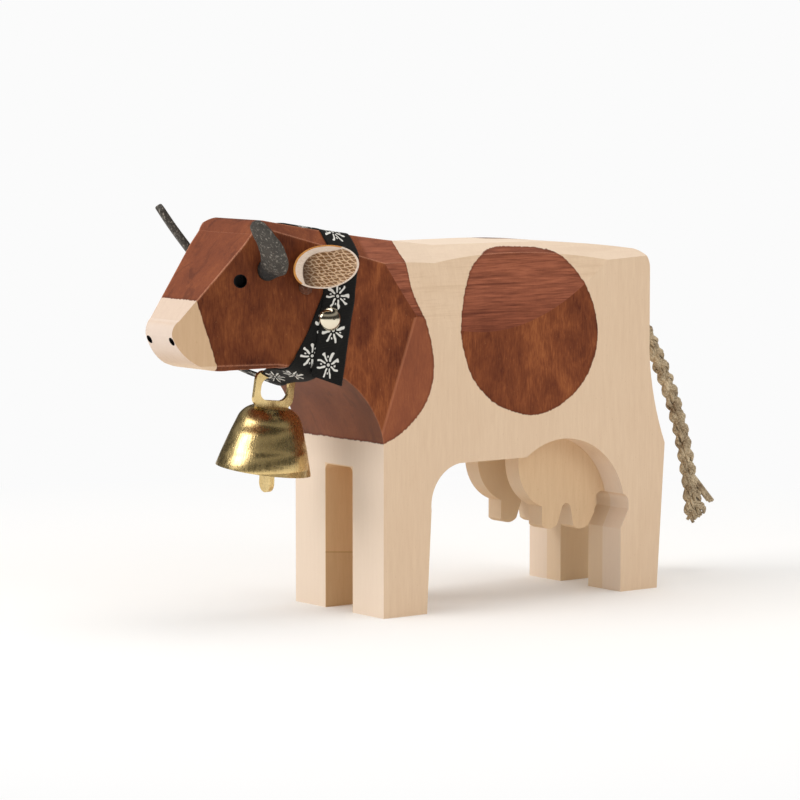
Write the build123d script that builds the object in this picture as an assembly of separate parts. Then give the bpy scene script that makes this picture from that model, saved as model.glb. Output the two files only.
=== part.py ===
from build123d import *
import math
import os

# Carved wooden cow, standing. Millimetres, +Z up, nose towards -Y, the cow's left side towards +X.
# The origin is on the ground, half way between the nose and the back of the thighs, on the mid-plane.

# Driving sizes of the carved block
body_length = 155.0
body_width = 40.0
back_height = 97.8
poll_height = 105.8
jaw_height = 67.3
throat_height = 68.1
chest_height = 46.5
belly_height = 39.7
foreleg_setback = 57.2
front_foot_length = 14.4
hind_foot_length = 13.3
hind_foot_inset = 2.6
jaw_length = 37.2
chin_length = 15.4
nose_tip_height = 76.4
bridge_setback = 1.9
bridge_height = 80.6
brow_setback = 20.7
brow_drop = 3.4
poll_setback = 25.1
withers_setback = 79.5
loin_inset = 47.5
hip_inset = 10.8
hip_height = 95.1
rump_inset = 5.8
rump_height = 89.5
thigh_start_height = 66.0
thigh_height = 40.6

# Sizes of the belly arch, the udder and the slot between the legs
armpit_run = 11.0
elbow_run = 1.5
elbow_height = 27.5
leg_slot_width = 12.3
leg_slot_height = 39.0
leg_slot_corner = 1.5
udder_width = 23.6
udder_neck_run = 8.1
udder_neck_height = 24.6
teat_inset = 37.4
teat_width = 5.5
teat_bow = 1.1
front_teat_height = 18.2
rear_teat_height = 17.4
teat_gap = 3.0
teat_gap_height = 24.9
teat_gap_crown = 1.0
gap_flare = 1.7
teat_root_run = 1.1
groin_flare = 2.0
groin_width = 5.5
groin_height = 27.4
groin_side_length = 3.05
groin_waist_drop = 1.75
instep_height = 17.5
pocket_radius = 22.0
pocket_height = 22.0
pocket_inset = 36.3

# Sizes of the carving cuts on the head, neck, shoulders and flanks
poll_half_width = 12.8
muzzle_half_width = 6.8
shoulder_top_setback = 67.7
shoulder_top_height = 79.4
shoulder_low_setback = 56.9
shoulder_low_height = 49.8
neck_front_setback = 25.6
neck_bevel_front_drop = 2.3
neck_bevel_back_setback = 59.6
neck_bevel_back_height = 93.7
neck_bevel_back_half_width = 18.1
neck_bevel_top_half_width = 10.5
back_bevel_front_sum = 109.9
back_bevel_rear_sum = 112.4
back_bevel_front_setback = 84.5
back_bevel_rear_inset = 19.2
scoop_radius = 233.0
scoop_lean = 12.5
scoop_setback = 91.7
scoop_height = 74.4
jaw_bevel = 1.4

# Sizes of the drilled eyes and nostrils
eye_diameter = 3.2
eye_depth = 2.4
eye_setback = 17.6
eye_drop = 12.0
nostril_diameter = 1.8
nostril_depth = 1.4
nostril_spacing = 10.4
nostril_height = 75.2
fit_clearance = 0.08

# Sizes of the leather horns
horn_width = 6.4
horn_tip_width = 3.4
horn_thickness = 2.2
horn_root_width = 4.8
horn_socket_diameter = 5.8
horn_socket_depth = 6.5
horn_setback = 24.8
horn_drop = 12.6
horn_side = 13.6
horn_reach = 8.8
horn_forward = 9.8
left_horn_rise = 12.9
right_horn_rise = 15.7

# Sizes of the cupped leather ears
ear_length = 16.8
ear_width = 11.2
ear_thickness = 1.4
ear_cup_radius = 12.0
ear_root_width = 3.2
ear_socket_diameter = 3.8
ear_socket_depth = 5.0
ear_setback = 35.5
ear_drop = 17.3
ear_side = 15.4
ear_out = 4.8
ear_back = 3.1
ear_up = 5.4
ear_stand = 1.0

# Sizes of the woven collar ribbon
ribbon_width = 9.2
ribbon_thickness = 0.5
ribbon_gap = 0.05
collar_top_setback = 47.1
collar_top_drop = 5.8
collar_low_setback = 41.5
ribbon_end_height = 62.5
tack_setback = 42.2
tack_drop = 8.6
loop_setback = 34.5
loop_height = 65.3
loop_half_span = 16.3
loop_inner_half_span = 3.0
loop_drop = 3.3
loop_run = 5.2
loop_lip = 0.5

# Sizes of the domed tack
tack_head_diameter = 6.6
tack_head_height = 2.2
tack_head_wall = 0.45
tack_shank_diameter = 1.3
tack_shank_length = 9.0
tack_point_length = 1.6

# Sizes of the brass bell, its hanger and its clapper
bell_tilt = 5.8
bell_lean = 5.2
hinge_setback = 34.4
hinge_height = 63.5
bell_mouth_diameter = 25.4
bell_shoulder_diameter = 17.5
bell_crown_diameter = 10.4
bell_height = 16.7
bell_shoulder_drop = 4.0
bell_wall = 0.7
bail_width = 12.7
bail_height = 9.6
bail_leg = 1.9
bail_bar = 1.8
bail_thickness = 1.0
bail_corner = 2.4
bail_foot = 2.2
bail_offset = 2.1
bail_play = 0.3
hook_wire = 1.0
hook_span = 7.4
hook_drop = 3.4
clapper_width = 5.0
clapper_thickness = 1.4
clapper_length = 19.4
clapper_eye_wall = 0.8
running_clearance = 0.08

# Size and route of the plaited tail cord
tail_diameter = 3.9
tail_socket_clearance = 0.1
tail_socket_depth = 11.8
tail_points = [
    (65.7, 78.0),
    (74.2, 78.0),
    (82.0, 75.4),
    (87.7, 69.6),
    (91.9, 62.4),
    (95.7, 54.9),
    (99.1, 47.0),
    (101.8, 38.8),
    (103.6, 30.3),
    (105.3, 22.6),
    (107.2, 15.6),
]

# Shares of each arc's run and rise where the arc passes
chest_bow_shares = (0.27, 0.57)
chin_bow_shares = (0.69, 0.30)
nose_bow_shares = (0.22, 0.62)
poll_bow_shares = (0.36, 0.68)
neck_bow_shares = (0.54, 0.61)
back_bow_shares = (0.5, 0.27)
rump_bow_shares = (0.73, 0.34)
thigh_bow_shares = (0.33, 0.52)
udder_bow_shares = (0.68, 0.27)
armpit_bow_shares = (0.72, 0.30)
tail_run_share = 0.45
horn_bend_shares = (0.42, 0.12)
horn_middle_shares = (0.86, 0.52)
horn_width_shares = (1.0, 0.86)
horn_broad_direction = (0.4, -0.68, -0.62)
corner_share = 0.45
ear_face_direction = (0.8, -0.6, 0.1)
ear_length_direction = (0.52, 0.85, 0.09)
ear_stem_shares = (-0.29, -0.36)
overlap_share = 1.25
loop_peak_share = 0.12
tip_share = 0.1
shoulder_bow_shares = (0.60, 0.36)
flare_bow_shares = (0.53, 0.49)

# Places worked out from the sizes above
half_width = body_width / 2
tool_reach = body_length
nose_y = -body_length / 2
rump_y = body_length / 2
foreleg_y = nose_y + foreleg_setback
hind_heel_y = rump_y - hind_foot_inset
hind_toe_y = hind_heel_y - hind_foot_length
brow_height = poll_height - brow_drop
neck_bevel_front_height = poll_height - neck_bevel_front_drop
eye_height = brow_height - eye_drop
horn_height = poll_height - horn_drop
ear_height = poll_height - ear_drop
collar_top_height = poll_height - collar_top_drop
tack_height = ear_height - tack_drop
face_half_slope = (poll_half_width - muzzle_half_width) / (brow_setback - bridge_setback)


def between(start, end, shares):
    """The point at the given shares of the run and of the rise from one corner to another."""
    return (start[0] + (end[0] - start[0]) * shares[0], start[1] + (end[1] - start[1]) * shares[1])


def bow(start, end, shares):
    """An arc from one corner to the next through a point between them."""
    return ThreePointArc(start, between(start, end, shares), end)


def mirrored(shape):
    """The same shape on the cow's right side."""
    return mirror(shape, about=Plane.YZ)


# The carved body
def top_outline():
    """Chest, jaw, face, neck, back and thigh, from the forefoot round to the hind foot."""
    toe = (foreleg_y, 0)
    chest = (foreleg_y, chest_height)
    throat = (nose_y + jaw_length, throat_height)
    chin = (nose_y + chin_length, jaw_height)
    nose = (nose_y, nose_tip_height)
    bridge = (nose_y + bridge_setback, bridge_height)
    brow = (nose_y + brow_setback, brow_height)
    poll = (nose_y + poll_setback, poll_height)
    withers = (nose_y + withers_setback, back_height)
    loin = (rump_y - loin_inset, back_height)
    hip = (rump_y - hip_inset, hip_height)
    rump = (rump_y - rump_inset, rump_height)
    thigh_start = (rump_y - rump_inset, thigh_start_height)
    thigh = (rump_y, thigh_height)
    return [
        Line(toe, chest),
        bow(chest, throat, chest_bow_shares),
        Line(throat, chin),
        bow(chin, nose, chin_bow_shares),
        bow(nose, bridge, nose_bow_shares),
        Line(bridge, brow),
        bow(brow, poll, poll_bow_shares),
        bow(poll, withers, neck_bow_shares),
        Line(withers, loin),
        bow(loin, hip, back_bow_shares),
        bow(hip, rump, rump_bow_shares),
        Line(rump, thigh_start),
        bow(thigh_start, thigh, thigh_bow_shares),
        Line(thigh, (hind_heel_y, 0)),
    ]


def teat_edges(rear, front, low_rear_y, height):
    """A teat that narrows to a bowed end, from its rear root to its front root."""
    lift = height + teat_bow
    rear_low = (low_rear_y, lift)
    low = (low_rear_y - teat_width / 2, height)
    front_low = (low_rear_y - teat_width, lift)
    return [Line(rear, rear_low), ThreePointArc(rear_low, low, front_low), Line(front_low, front)]


def under_outline():
    """Hind leg, groin, udder with its teats, belly and foreleg, from the hind foot to the forefoot."""
    teat_front_y = rump_y - teat_inset
    front_teat_y = teat_front_y + teat_width
    gap_front_y = front_teat_y + gap_flare
    gap_rear_y = gap_front_y + teat_gap
    rear_teat_y = gap_rear_y + teat_root_run + teat_width
    groin_front_y = rear_teat_y + groin_flare
    groin_rear_y = groin_front_y + groin_width
    toe = (hind_toe_y, 0)
    instep = (hind_toe_y, instep_height)
    groin_spring_height = groin_height - groin_width / 2
    groin_waist = (groin_rear_y, groin_spring_height - groin_waist_drop)
    groin_rear = (groin_rear_y, groin_spring_height)
    groin_front = (groin_front_y, groin_spring_height)
    groin_top = (groin_front_y + groin_width / 2, groin_height)
    groin_shoulder = (groin_front_y, groin_spring_height - groin_side_length)
    gap_rear = (gap_rear_y, teat_gap_height - teat_gap_crown)
    gap_front = (gap_front_y, teat_gap_height - teat_gap_crown)
    gap_top = (gap_front_y + teat_gap / 2, teat_gap_height)
    udder_neck = (teat_front_y, udder_neck_height)
    udder_root = (teat_front_y - udder_neck_run, belly_height)
    armpit = (foreleg_y + front_foot_length + armpit_run, belly_height)
    elbow = (foreleg_y + front_foot_length + elbow_run, elbow_height)
    heel = (foreleg_y + front_foot_length, 0)
    return [
        Line((hind_heel_y, 0), toe),
        Line(toe, instep),
        Line(instep, groin_waist),
        Line(groin_waist, groin_rear),
        ThreePointArc(groin_rear, groin_top, groin_front),
        Line(groin_front, groin_shoulder),
        *teat_edges(groin_shoulder, gap_rear, rear_teat_y, rear_teat_height),
        ThreePointArc(gap_rear, gap_top, gap_front),
        *teat_edges(gap_front, udder_neck, front_teat_y, front_teat_height),
        bow(udder_neck, udder_root, udder_bow_shares),
        Line(udder_root, armpit),
        bow(armpit, elbow, armpit_bow_shares),
        Line(elbow, heel),
        Line(heel, (foreleg_y, 0)),
    ]


def sawn_blank():
    """The board sawn to the side view."""
    outline = Wire([edge.edge() for edge in top_outline() + under_outline()])
    face = Plane.YZ * make_face(outline)
    return extrude(face, amount=half_width, both=True)


def half_space(point, normal, run, grow=0):
    """A large block lying beyond a plane, moved outwards by a distance, to cut one flat facet."""
    plane = Plane(origin=point, x_dir=run, z_dir=normal)
    size = 2 * tool_reach
    return plane * Pos(0, 0, grow + tool_reach) * Box(size, size, size)


def neck_facet():
    """Point, normal and run of the flat left side of the neck."""
    top = Vector(half_width, nose_y + shoulder_top_setback, shoulder_top_height)
    low = Vector(half_width, nose_y + shoulder_low_setback, shoulder_low_height)
    front = Vector(poll_half_width, nose_y + neck_front_setback, neck_bevel_front_height)
    normal = (low - top).cross(front - top).normalized()
    if normal.X < 0:
        normal = -normal
    return top, normal, (low - top).normalized()


def neck_bevel():
    """Point, normal and run of the bevel along the left top edge of the neck."""
    front = Vector(poll_half_width, nose_y + neck_front_setback, neck_bevel_front_height)
    back = Vector(neck_bevel_back_half_width, nose_y + neck_bevel_back_setback, neck_bevel_back_height)
    top = Vector(neck_bevel_top_half_width, nose_y + neck_front_setback, poll_height)
    normal = (back - front).cross(top - front).normalized()
    if normal.X < 0:
        normal = -normal
    return front, normal, (back - front).normalized()


def back_bevel():
    """Point, normal and run of the bevel along the left top edge of the back."""
    front = Vector(half_width, nose_y + back_bevel_front_setback, back_bevel_front_sum - half_width)
    rear = Vector(half_width, rump_y - back_bevel_rear_inset, back_bevel_rear_sum - half_width)
    run = (rear - front).normalized()
    inward = Vector(-half_width, 0, half_width)
    normal = inward.cross(run).normalized()
    if normal.X < 0:
        normal = -normal
    return front, normal, run


def top_bevels(grow):
    """What the two bevels along the left top edge cut off, when both are moved outwards by a distance."""
    return half_space(*neck_bevel(), grow) & half_space(*back_bevel(), grow)


def face_facet():
    """Point, normal and run of the flat left cheek, which narrows to the muzzle."""
    brow = Vector(poll_half_width, nose_y + brow_setback, brow_height)
    run = Vector(face_half_slope, 1, 0).normalized()
    return brow, Vector(1, -face_half_slope, 0).normalized(), run


def flank_scoop():
    """The wide shallow hollow that a large drum leaves on the left flank."""
    lean = math.radians(scoop_lean)
    outward = Vector(math.cos(lean), 0, math.sin(lean))
    axis = Vector(-math.sin(lean), 0, math.cos(lean))
    surface = Vector(half_width, nose_y + scoop_setback, scoop_height)
    centre = surface + outward * scoop_radius
    return Plane(origin=centre, x_dir=(0, 1, 0), z_dir=axis) * Cylinder(scoop_radius, 2 * tool_reach)


def udder_pocket():
    """The round hollow beside the udder, on the left."""
    depth = half_width - udder_width / 2
    centre_y = rump_y - pocket_inset
    drum = Pos(udder_width / 2 + depth, centre_y, pocket_height) * Rot(0, 90, 0)
    drum = drum * Cylinder(pocket_radius, 2 * depth)
    low_front = centre_y - pocket_radius
    low_rear = hind_toe_y
    block = Pos(udder_width / 2 + depth, (low_front + low_rear) / 2, pocket_height / 2)
    block = block * Box(2 * depth, low_rear - low_front, pocket_height)
    upper = half_space((0, centre_y, pocket_height), (0, 0, 1), (0, 1, 0))
    return (drum & upper) + block


def leg_slot():
    """The slot that parts the left legs and udder half from the right ones."""
    profile = RectangleRounded(leg_slot_width, 2 * leg_slot_height, leg_slot_corner)
    return extrude(Plane.XZ * profile, amount=body_length, both=True)


def jaw_bevel_cut():
    """The small bevel along the lower edge of the left cheek."""
    side, normal, run = face_facet()
    corner = Vector(poll_half_width - jaw_bevel, nose_y + brow_setback, jaw_height)
    tilted = (normal + Vector(0, 0, -1)).normalized()
    return half_space(corner, tilted, run) & half_space(
        (0, nose_y + jaw_length, 0), (0, -1, 0), (1, 0, 0))


def drill(point, direction, diameter, depth):
    """A drilled hole that starts a little outside the surface."""
    plane = Plane(origin=point, z_dir=direction)
    return plane * Pos(0, 0, -depth / 2 + diameter / 2) * Cylinder(diameter / 2, depth + diameter)


def eye_hole():
    """The drilled left eye."""
    side, normal, run = face_facet()
    eye_x = poll_half_width - face_half_slope * (brow_setback - eye_setback)
    return drill(Vector(eye_x, nose_y + eye_setback, eye_height), normal, eye_diameter, eye_depth)


def nostril_hole():
    """The drilled left nostril."""
    point = Vector(nostril_spacing / 2, nose_y, nostril_height)
    return drill(point, Vector(0, -1, 0), nostril_diameter, nostril_depth)


def horn_socket():
    """The drilled hole that holds the left horn."""
    point = Vector(horn_side, nose_y + horn_setback, horn_height)
    return drill(point, neck_facet()[1], horn_socket_diameter, horn_socket_depth)


def ear_socket():
    """The drilled hole that holds the left ear."""
    point = Vector(ear_side, nose_y + ear_setback, ear_height)
    return drill(point, neck_facet()[1], ear_socket_diameter, ear_socket_depth)


def tack_axis():
    """Where the tack goes into the left side of the neck, and its outward direction."""
    top, normal, run = neck_facet()
    y = nose_y + tack_setback
    x = top.X - (normal.Y * (y - top.Y) + normal.Z * (tack_height - top.Z)) / normal.X
    return Vector(x, y, tack_height), normal


def tack_socket():
    """The hole that the tack's shank makes."""
    point, normal = tack_axis()
    return drill(point, normal, tack_shank_diameter + 2 * fit_clearance, tack_shank_length + fit_clearance)


def tail_socket():
    """The drilled hole in the rump that holds the tail."""
    height = tail_points[0][1]
    radius = tail_diameter / 2 + tail_socket_clearance
    bore = Rot(90, 0, 0) * Cylinder(radius, tail_socket_depth)
    return Pos(0, rump_y - tail_socket_depth / 2, height) * bore


def cow_body():
    """The block with all its cuts."""
    body = sawn_blank() - leg_slot()
    side_cuts = [
        half_space(*neck_facet()),
        half_space(*face_facet()),
        top_bevels(0),
        flank_scoop(),
        udder_pocket(),
        jaw_bevel_cut(),
        eye_hole(),
        nostril_hole(),
        horn_socket(),
        ear_socket(),
    ]
    for cut in side_cuts:
        body = body - cut - mirrored(cut)
    return body - tack_socket() - tail_socket()


# The horns, cut from thick leather
def horn_station(root, rise, shares):
    """A point of the horn's centre line at its own shares of the reach, the forward run and the rise."""
    return root + Vector(horn_reach * shares[0], -horn_forward * shares[1], rise * shares[1])


def horn(rise):
    """A left horn that leaves its socket outwards and curves forward and up to a rounded tip."""
    outward = neck_facet()[1]
    root = Vector(horn_side, nose_y + horn_setback, horn_height)
    inner = root - outward * (horn_socket_depth - fit_clearance)
    bend = horn_station(root, rise, horn_bend_shares)
    middle = horn_station(root, rise, horn_middle_shares)
    tip = horn_station(root, rise, (1, 1))
    broad = Vector(*horn_broad_direction)
    bend_width, middle_width = [horn_width * share for share in horn_width_shares]
    stations = [
        (root, outward, horn_root_width),
        (bend, (middle - root).normalized(), bend_width),
        (middle, (tip - bend).normalized(), middle_width),
        (tip, (tip - middle).normalized(), horn_tip_width),
    ]
    faces = []
    for point, direction, width in stations:
        across = direction.cross(broad).normalized()
        plane = Plane(origin=point, x_dir=across, z_dir=direction)
        faces.append(plane * RectangleRounded(width, horn_thickness, horn_thickness * corner_share))
    stub_plane = Plane(origin=inner, x_dir=outward.cross(broad).normalized(), z_dir=outward)
    stub_face = stub_plane * RectangleRounded(horn_root_width, horn_thickness, horn_thickness * corner_share)
    return loft(faces) + extrude(stub_face, amount=(root - inner).length)


# The ears, cupped from thin leather
def ear():
    """A dished oval of leather, pinched to a stem below its front end."""
    outward = neck_facet()[1]
    root = Vector(ear_side, nose_y + ear_setback, ear_height)
    length_way = Vector(*ear_length_direction).normalized()
    facing = Vector(*ear_face_direction)
    facing = (facing - length_way * facing.dot(length_way)).normalized()
    plane = Plane(origin=root + Vector(ear_out, ear_back, ear_up), x_dir=length_way, z_dir=facing)
    centre_height = math.sqrt(ear_cup_radius ** 2 - (ear_length / 2) ** 2)
    centre = Pos(0, 0, centre_height)
    cup = centre * (Sphere(ear_cup_radius) - Sphere(ear_cup_radius - ear_thickness))
    column = extrude(Ellipse(ear_length / 2, ear_width / 2), amount=ear_cup_radius)
    column = Pos(0, 0, centre_height - ear_cup_radius) * column
    depth = ear_socket_depth - fit_clearance
    across = facing.cross(outward).normalized()
    stub_plane = Plane(origin=root - outward * depth, x_dir=across, z_dir=outward)
    stub_face = stub_plane * RectangleRounded(ear_root_width, ear_thickness, ear_thickness * corner_share)
    stub = extrude(stub_face, amount=depth + ear_stand)
    stem_x, stem_y = ear_length * ear_stem_shares[0], ear_width * ear_stem_shares[1]
    stem_z = centre_height - math.sqrt((ear_cup_radius - ear_thickness / 2) ** 2 - stem_x ** 2 - stem_y ** 2)
    rim = plane.from_local_coords(Vector(stem_x, stem_y, stem_z))
    knee = root + outward * ear_stand
    stem_start = Plane(origin=knee, x_dir=across, z_dir=outward)
    stem_end = Plane(origin=rim, x_dir=across, z_dir=(rim - knee).normalized())
    stem_section = RectangleRounded(ear_root_width, ear_thickness, ear_thickness * corner_share)
    stem = loft([stem_start * stem_section, stem_end * stem_section], ruled=True)
    return plane * (cup & column) + stub + stem


# The woven ribbon round the neck
def neck_block(grow):
    """The neck's outer planes and top, moved outwards by a distance."""
    poll = (nose_y + poll_setback, poll_height)
    withers = (nose_y + withers_setback, back_height)
    low = jaw_height - ribbon_width
    edges = [
        bow(poll, withers, neck_bow_shares),
        Line(withers, (withers[0], low)),
        Line((withers[0], low), (poll[0], low)),
        Line((poll[0], low), poll),
    ]
    face = Plane.YZ * make_face(Wire([edge.edge() for edge in edges]))
    block = Pos(0, 0, grow) * extrude(face, amount=2 * half_width, both=True)
    for cut in (half_space(*neck_facet(), grow), top_bevels(grow)):
        block = block - cut - mirrored(cut)
    return block


def strip_slab(high, low, side):
    """A block as wide as the ribbon, along the line between two points, on one side of the neck."""
    run = math.hypot(high[0] - low[0], high[1] - low[1])
    angle = math.degrees(math.atan2(high[1] - low[1], high[0] - low[0]))
    middle = Pos(side * half_width, (high[0] + low[0]) / 2, (high[1] + low[1]) / 2)
    return middle * Rot(angle, 0, 0) * Box(body_width, run, ribbon_width)


def loop_section(x, front, top, rear):
    """The ribbon's cross-section under the jaw, bent over a line, at one place along its length."""
    half = ribbon_thickness / 2
    front_rise = Vector(top[0] - front[0], top[1] - front[1]).normalized()
    rear_fall = Vector(rear[0] - top[0], rear[1] - top[1]).normalized()
    front_up = Vector(-front_rise.Y, front_rise.X) * half
    rear_up = Vector(-rear_fall.Y, rear_fall.X) * half
    peak_up = (front_up + rear_up).normalized() * half
    points = [
        Vector(*front) + front_up,
        Vector(*top) + peak_up,
        Vector(*rear) + rear_up,
        Vector(*rear) - rear_up,
        Vector(*top) - peak_up,
        Vector(*front) - front_up,
    ]
    return Plane.YZ.offset(x) * make_face(Polyline(*points, close=True))


def collar_ribbon():
    """The strip over the neck and down both sides, and the loop that passes under the jaw."""
    outer = neck_block(ribbon_gap + ribbon_thickness)
    shell = outer - neck_block(ribbon_gap)
    top = (nose_y + collar_top_setback, collar_top_height)
    above = between((nose_y + collar_low_setback, ribbon_end_height), top, (overlap_share, overlap_share))
    left_end = (nose_y + collar_low_setback, ribbon_end_height)
    loop_end = (nose_y + loop_setback, loop_height)
    tack = (nose_y + tack_setback, tack_height)
    tack_above = between(loop_end, tack, (overlap_share, overlap_share))
    right_above = between(loop_end, top, (overlap_share, overlap_share))
    strips = strip_slab(above, left_end, 1) + strip_slab(tack_above, loop_end, 1)
    strips = strips + strip_slab(right_above, loop_end, -1)
    hinge_y = nose_y + hinge_setback
    peak = (hinge_y, hinge_height - bail_play - ribbon_thickness / 2)
    lip = (peak[0] - loop_lip, peak[1] - loop_lip)
    fall = (peak[0] + loop_run, peak[1] - loop_drop)
    slope = math.atan2(tack[0] - loop_end[0], tack[1] - loop_end[1])
    reach_y = ribbon_width / 2 * math.cos(slope)
    reach_z = ribbon_width / 2 * math.sin(slope)
    end_front = (loop_end[0] - reach_y, loop_end[1] + reach_z)
    end_rear = (loop_end[0] + reach_y, loop_end[1] - reach_z)
    end_top = between(end_front, end_rear, (loop_peak_share, loop_peak_share))
    sections = [
        loop_section(-loop_half_span, end_front, end_top, end_rear),
        loop_section(-loop_inner_half_span, lip, peak, fall),
        loop_section(loop_inner_half_span, lip, peak, fall),
        loop_section(loop_half_span, end_front, end_top, end_rear),
    ]
    point, normal = tack_axis()
    hole_diameter = tack_shank_diameter + 2 * fit_clearance
    hole = drill(point + normal * ribbon_width / 2, normal, hole_diameter, ribbon_width)
    return (shell & strips) + loft(sections, ruled=True) - hole


# The domed tack that closes the collar
def collar_tack():
    """A thin domed head on a shank, driven through both ends of the ribbon."""
    point, normal = tack_axis()
    seat = point + normal * (ribbon_gap + ribbon_thickness + ribbon_gap)
    radius = tack_head_diameter / 2
    dome_radius = (radius ** 2 + tack_head_height ** 2) / (2 * tack_head_height)
    centre = Pos(0, 0, tack_head_height - dome_radius)
    dome = centre * (Sphere(dome_radius) - Sphere(dome_radius - tack_head_wall))
    cap = dome & (Pos(0, 0, tack_head_height / 2) * Cylinder(dome_radius, tack_head_height))
    shank_top = tack_head_height - tack_head_wall / 2
    seat_depth = (seat - point).length
    depth = tack_shank_length - tack_point_length - fit_clearance - seat_depth
    shank = Pos(0, 0, (shank_top - depth) / 2) * Cylinder(tack_shank_diameter / 2, shank_top + depth)
    tip = Pos(0, 0, -depth - tack_point_length / 2) * Rot(180, 0, 0)
    tip = tip * Cone(tack_shank_diameter / 2, tack_shank_diameter * tip_share, tack_point_length)
    return Plane(origin=seat, z_dir=normal) * (cap + shank + tip)


# The brass bell, standing on its own axis with the middle of its crown at the origin
def hang(shape):
    """Put a piece of the bell at its place under the jaw, leaning forwards and to the right."""
    window_top = bail_height - bail_bar - bail_play
    at_hinge = Pos(0, bail_offset, -window_top) * shape
    leaning = Rot(0, bell_lean, 0) * Rot(-bell_tilt, 0, 0) * at_hinge
    return Pos(0, nose_y + hinge_setback, hinge_height) * leaning


def bell_cup(radius_cut, height_cut):
    """The bell's outer shape, or its hollow when both cuts are the wall."""
    crown = bell_crown_diameter / 2 - radius_cut
    shoulder = (bell_shoulder_diameter / 2 - radius_cut, -bell_shoulder_drop)
    mouth = (bell_mouth_diameter / 2 - radius_cut, -bell_height)
    edges = [
        Line((0, -height_cut), (crown, -height_cut)),
        bow((crown, -height_cut), shoulder, shoulder_bow_shares),
        bow(shoulder, mouth, flare_bow_shares),
        Line(mouth, (0, -bell_height)),
        Line((0, -bell_height), (0, -height_cut)),
    ]
    face = Plane.XZ * make_face(Wire([edge.edge() for edge in edges]))
    return revolve(face, Axis.Z)


def bail_feet(clearance):
    """The two tabs of the bail that pass through the crown, grown by a clearance for their slots."""
    length = 2 * bell_wall + bail_bar
    foot = Box(bail_thickness + 2 * clearance, bail_foot + 2 * clearance, length)
    spread = bell_crown_diameter / 2 - bail_foot / 2 - bell_wall
    feet = [Pos(0, side * spread, -length / 2 + bail_bar / 2) * foot for side in (-1, 1)]
    return feet[0] + feet[1]


def bell_shell():
    """The spun brass cup with two slots for the bail."""
    return hang(bell_cup(0, 0) - bell_cup(bell_wall, bell_wall) - bail_feet(running_clearance))


def bell_bail():
    """The flat hanger with its round-cornered window."""
    outer = Pos(0, bail_height / 2) * RectangleRounded(bail_width, bail_height, bail_corner)
    foot_bar = Pos(0, bail_bar / 2) * Rectangle(bell_crown_diameter, bail_bar)
    window_height = bail_height - 2 * bail_bar
    window = RectangleRounded(bail_width - 2 * bail_leg, window_height, bail_corner)
    profile = outer + foot_bar - Pos(0, bail_height / 2) * window
    plate = extrude(Plane.YZ * profile, amount=bail_thickness / 2, both=True)
    return hang(plate + bail_feet(0))


def clapper_hook():
    """The wire staple inside the crown that carries the clapper."""
    radius = hook_wire / 2
    leg_length = hook_drop - bell_wall
    bar = Pos(0, 0, -hook_drop) * Rot(0, 90, 0) * Cylinder(radius, hook_span + hook_wire)
    legs = [Pos(side * hook_span / 2, 0, -bell_wall - leg_length / 2) * Cylinder(radius, leg_length)
            for side in (-1, 1)]
    return hang(bar + legs[0] + legs[1])


def clapper():
    """The flat tongue, curled into an eye at its top."""
    bore = hook_wire / 2 + running_clearance
    outer = bore + clapper_eye_wall
    eye = Rot(0, 90, 0) * Cylinder(outer, clapper_width)
    reach = clapper_length - clapper_width / 2
    tongue = Pos(0, -reach / 2) * Rectangle(clapper_width, reach)
    tongue = tongue + Pos(0, -reach) * Circle(clapper_width / 2)
    blade = extrude(Plane.XZ * tongue, amount=clapper_thickness / 2, both=True)
    shape = eye + blade - Rot(0, 90, 0) * Cylinder(bore, clapper_width + bore)
    pivot = hang(Pos(0, 0, -hook_drop) * Sphere(running_clearance)).center()
    return Pos(pivot.X, pivot.Y, pivot.Z) * Rot(0, bell_lean, 0) * shape


# The plaited tail cord
def tail_radii():
    """An arc radius for each corner of the route, as large as its two runs allow."""
    points = [Vector(0, y, z) for y, z in tail_points]
    radii = []
    for before, corner, after in zip(points, points[1:], points[2:]):
        shorter = min((corner - before).length, (after - corner).length)
        turn = math.radians((corner - before).get_angle(after - corner))
        radii.append(tail_run_share * shorter / math.tan(turn / 2))
    return radii


def tail_braid():
    """The cord from the bottom of its socket to its cut end."""
    points = [(0, y, z) for y, z in tail_points]
    path = FilletPolyline(*points, radius=tail_radii())
    section = Plane(origin=points[0], x_dir=(1, 0, 0), z_dir=(0, 1, 0)) * Circle(tail_diameter / 2)
    cord = sweep(section, path=path.wire())
    print("tail radii", [round(radius, 1) for radius in tail_radii()])
    print("tail length", round(path.wire().length, 2))
    print("tail volume share", round(cord.volume / (section.area * path.wire().length), 4))
    return cord


def save(name, shape):
    """Write one sub-part to its own file."""
    export_step(shape, os.path.join("parts", name + ".step"))


os.makedirs("parts", exist_ok=True)
save("cow_body", cow_body())
save("left_horn", horn(left_horn_rise))
save("right_horn", mirrored(horn(right_horn_rise)))
save("left_ear", ear())
save("right_ear", mirrored(ear()))
save("collar_ribbon", collar_ribbon())
save("collar_tack", collar_tack())
save("bell_shell", bell_shell())
save("bell_bail", bell_bail())
save("clapper_hook", clapper_hook())
save("clapper", clapper())
save("tail_braid", tail_braid())
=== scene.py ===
import bpy
import bmesh
import math
import random
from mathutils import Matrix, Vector, noise
from mathutils.bvhtree import BVHTree


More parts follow.
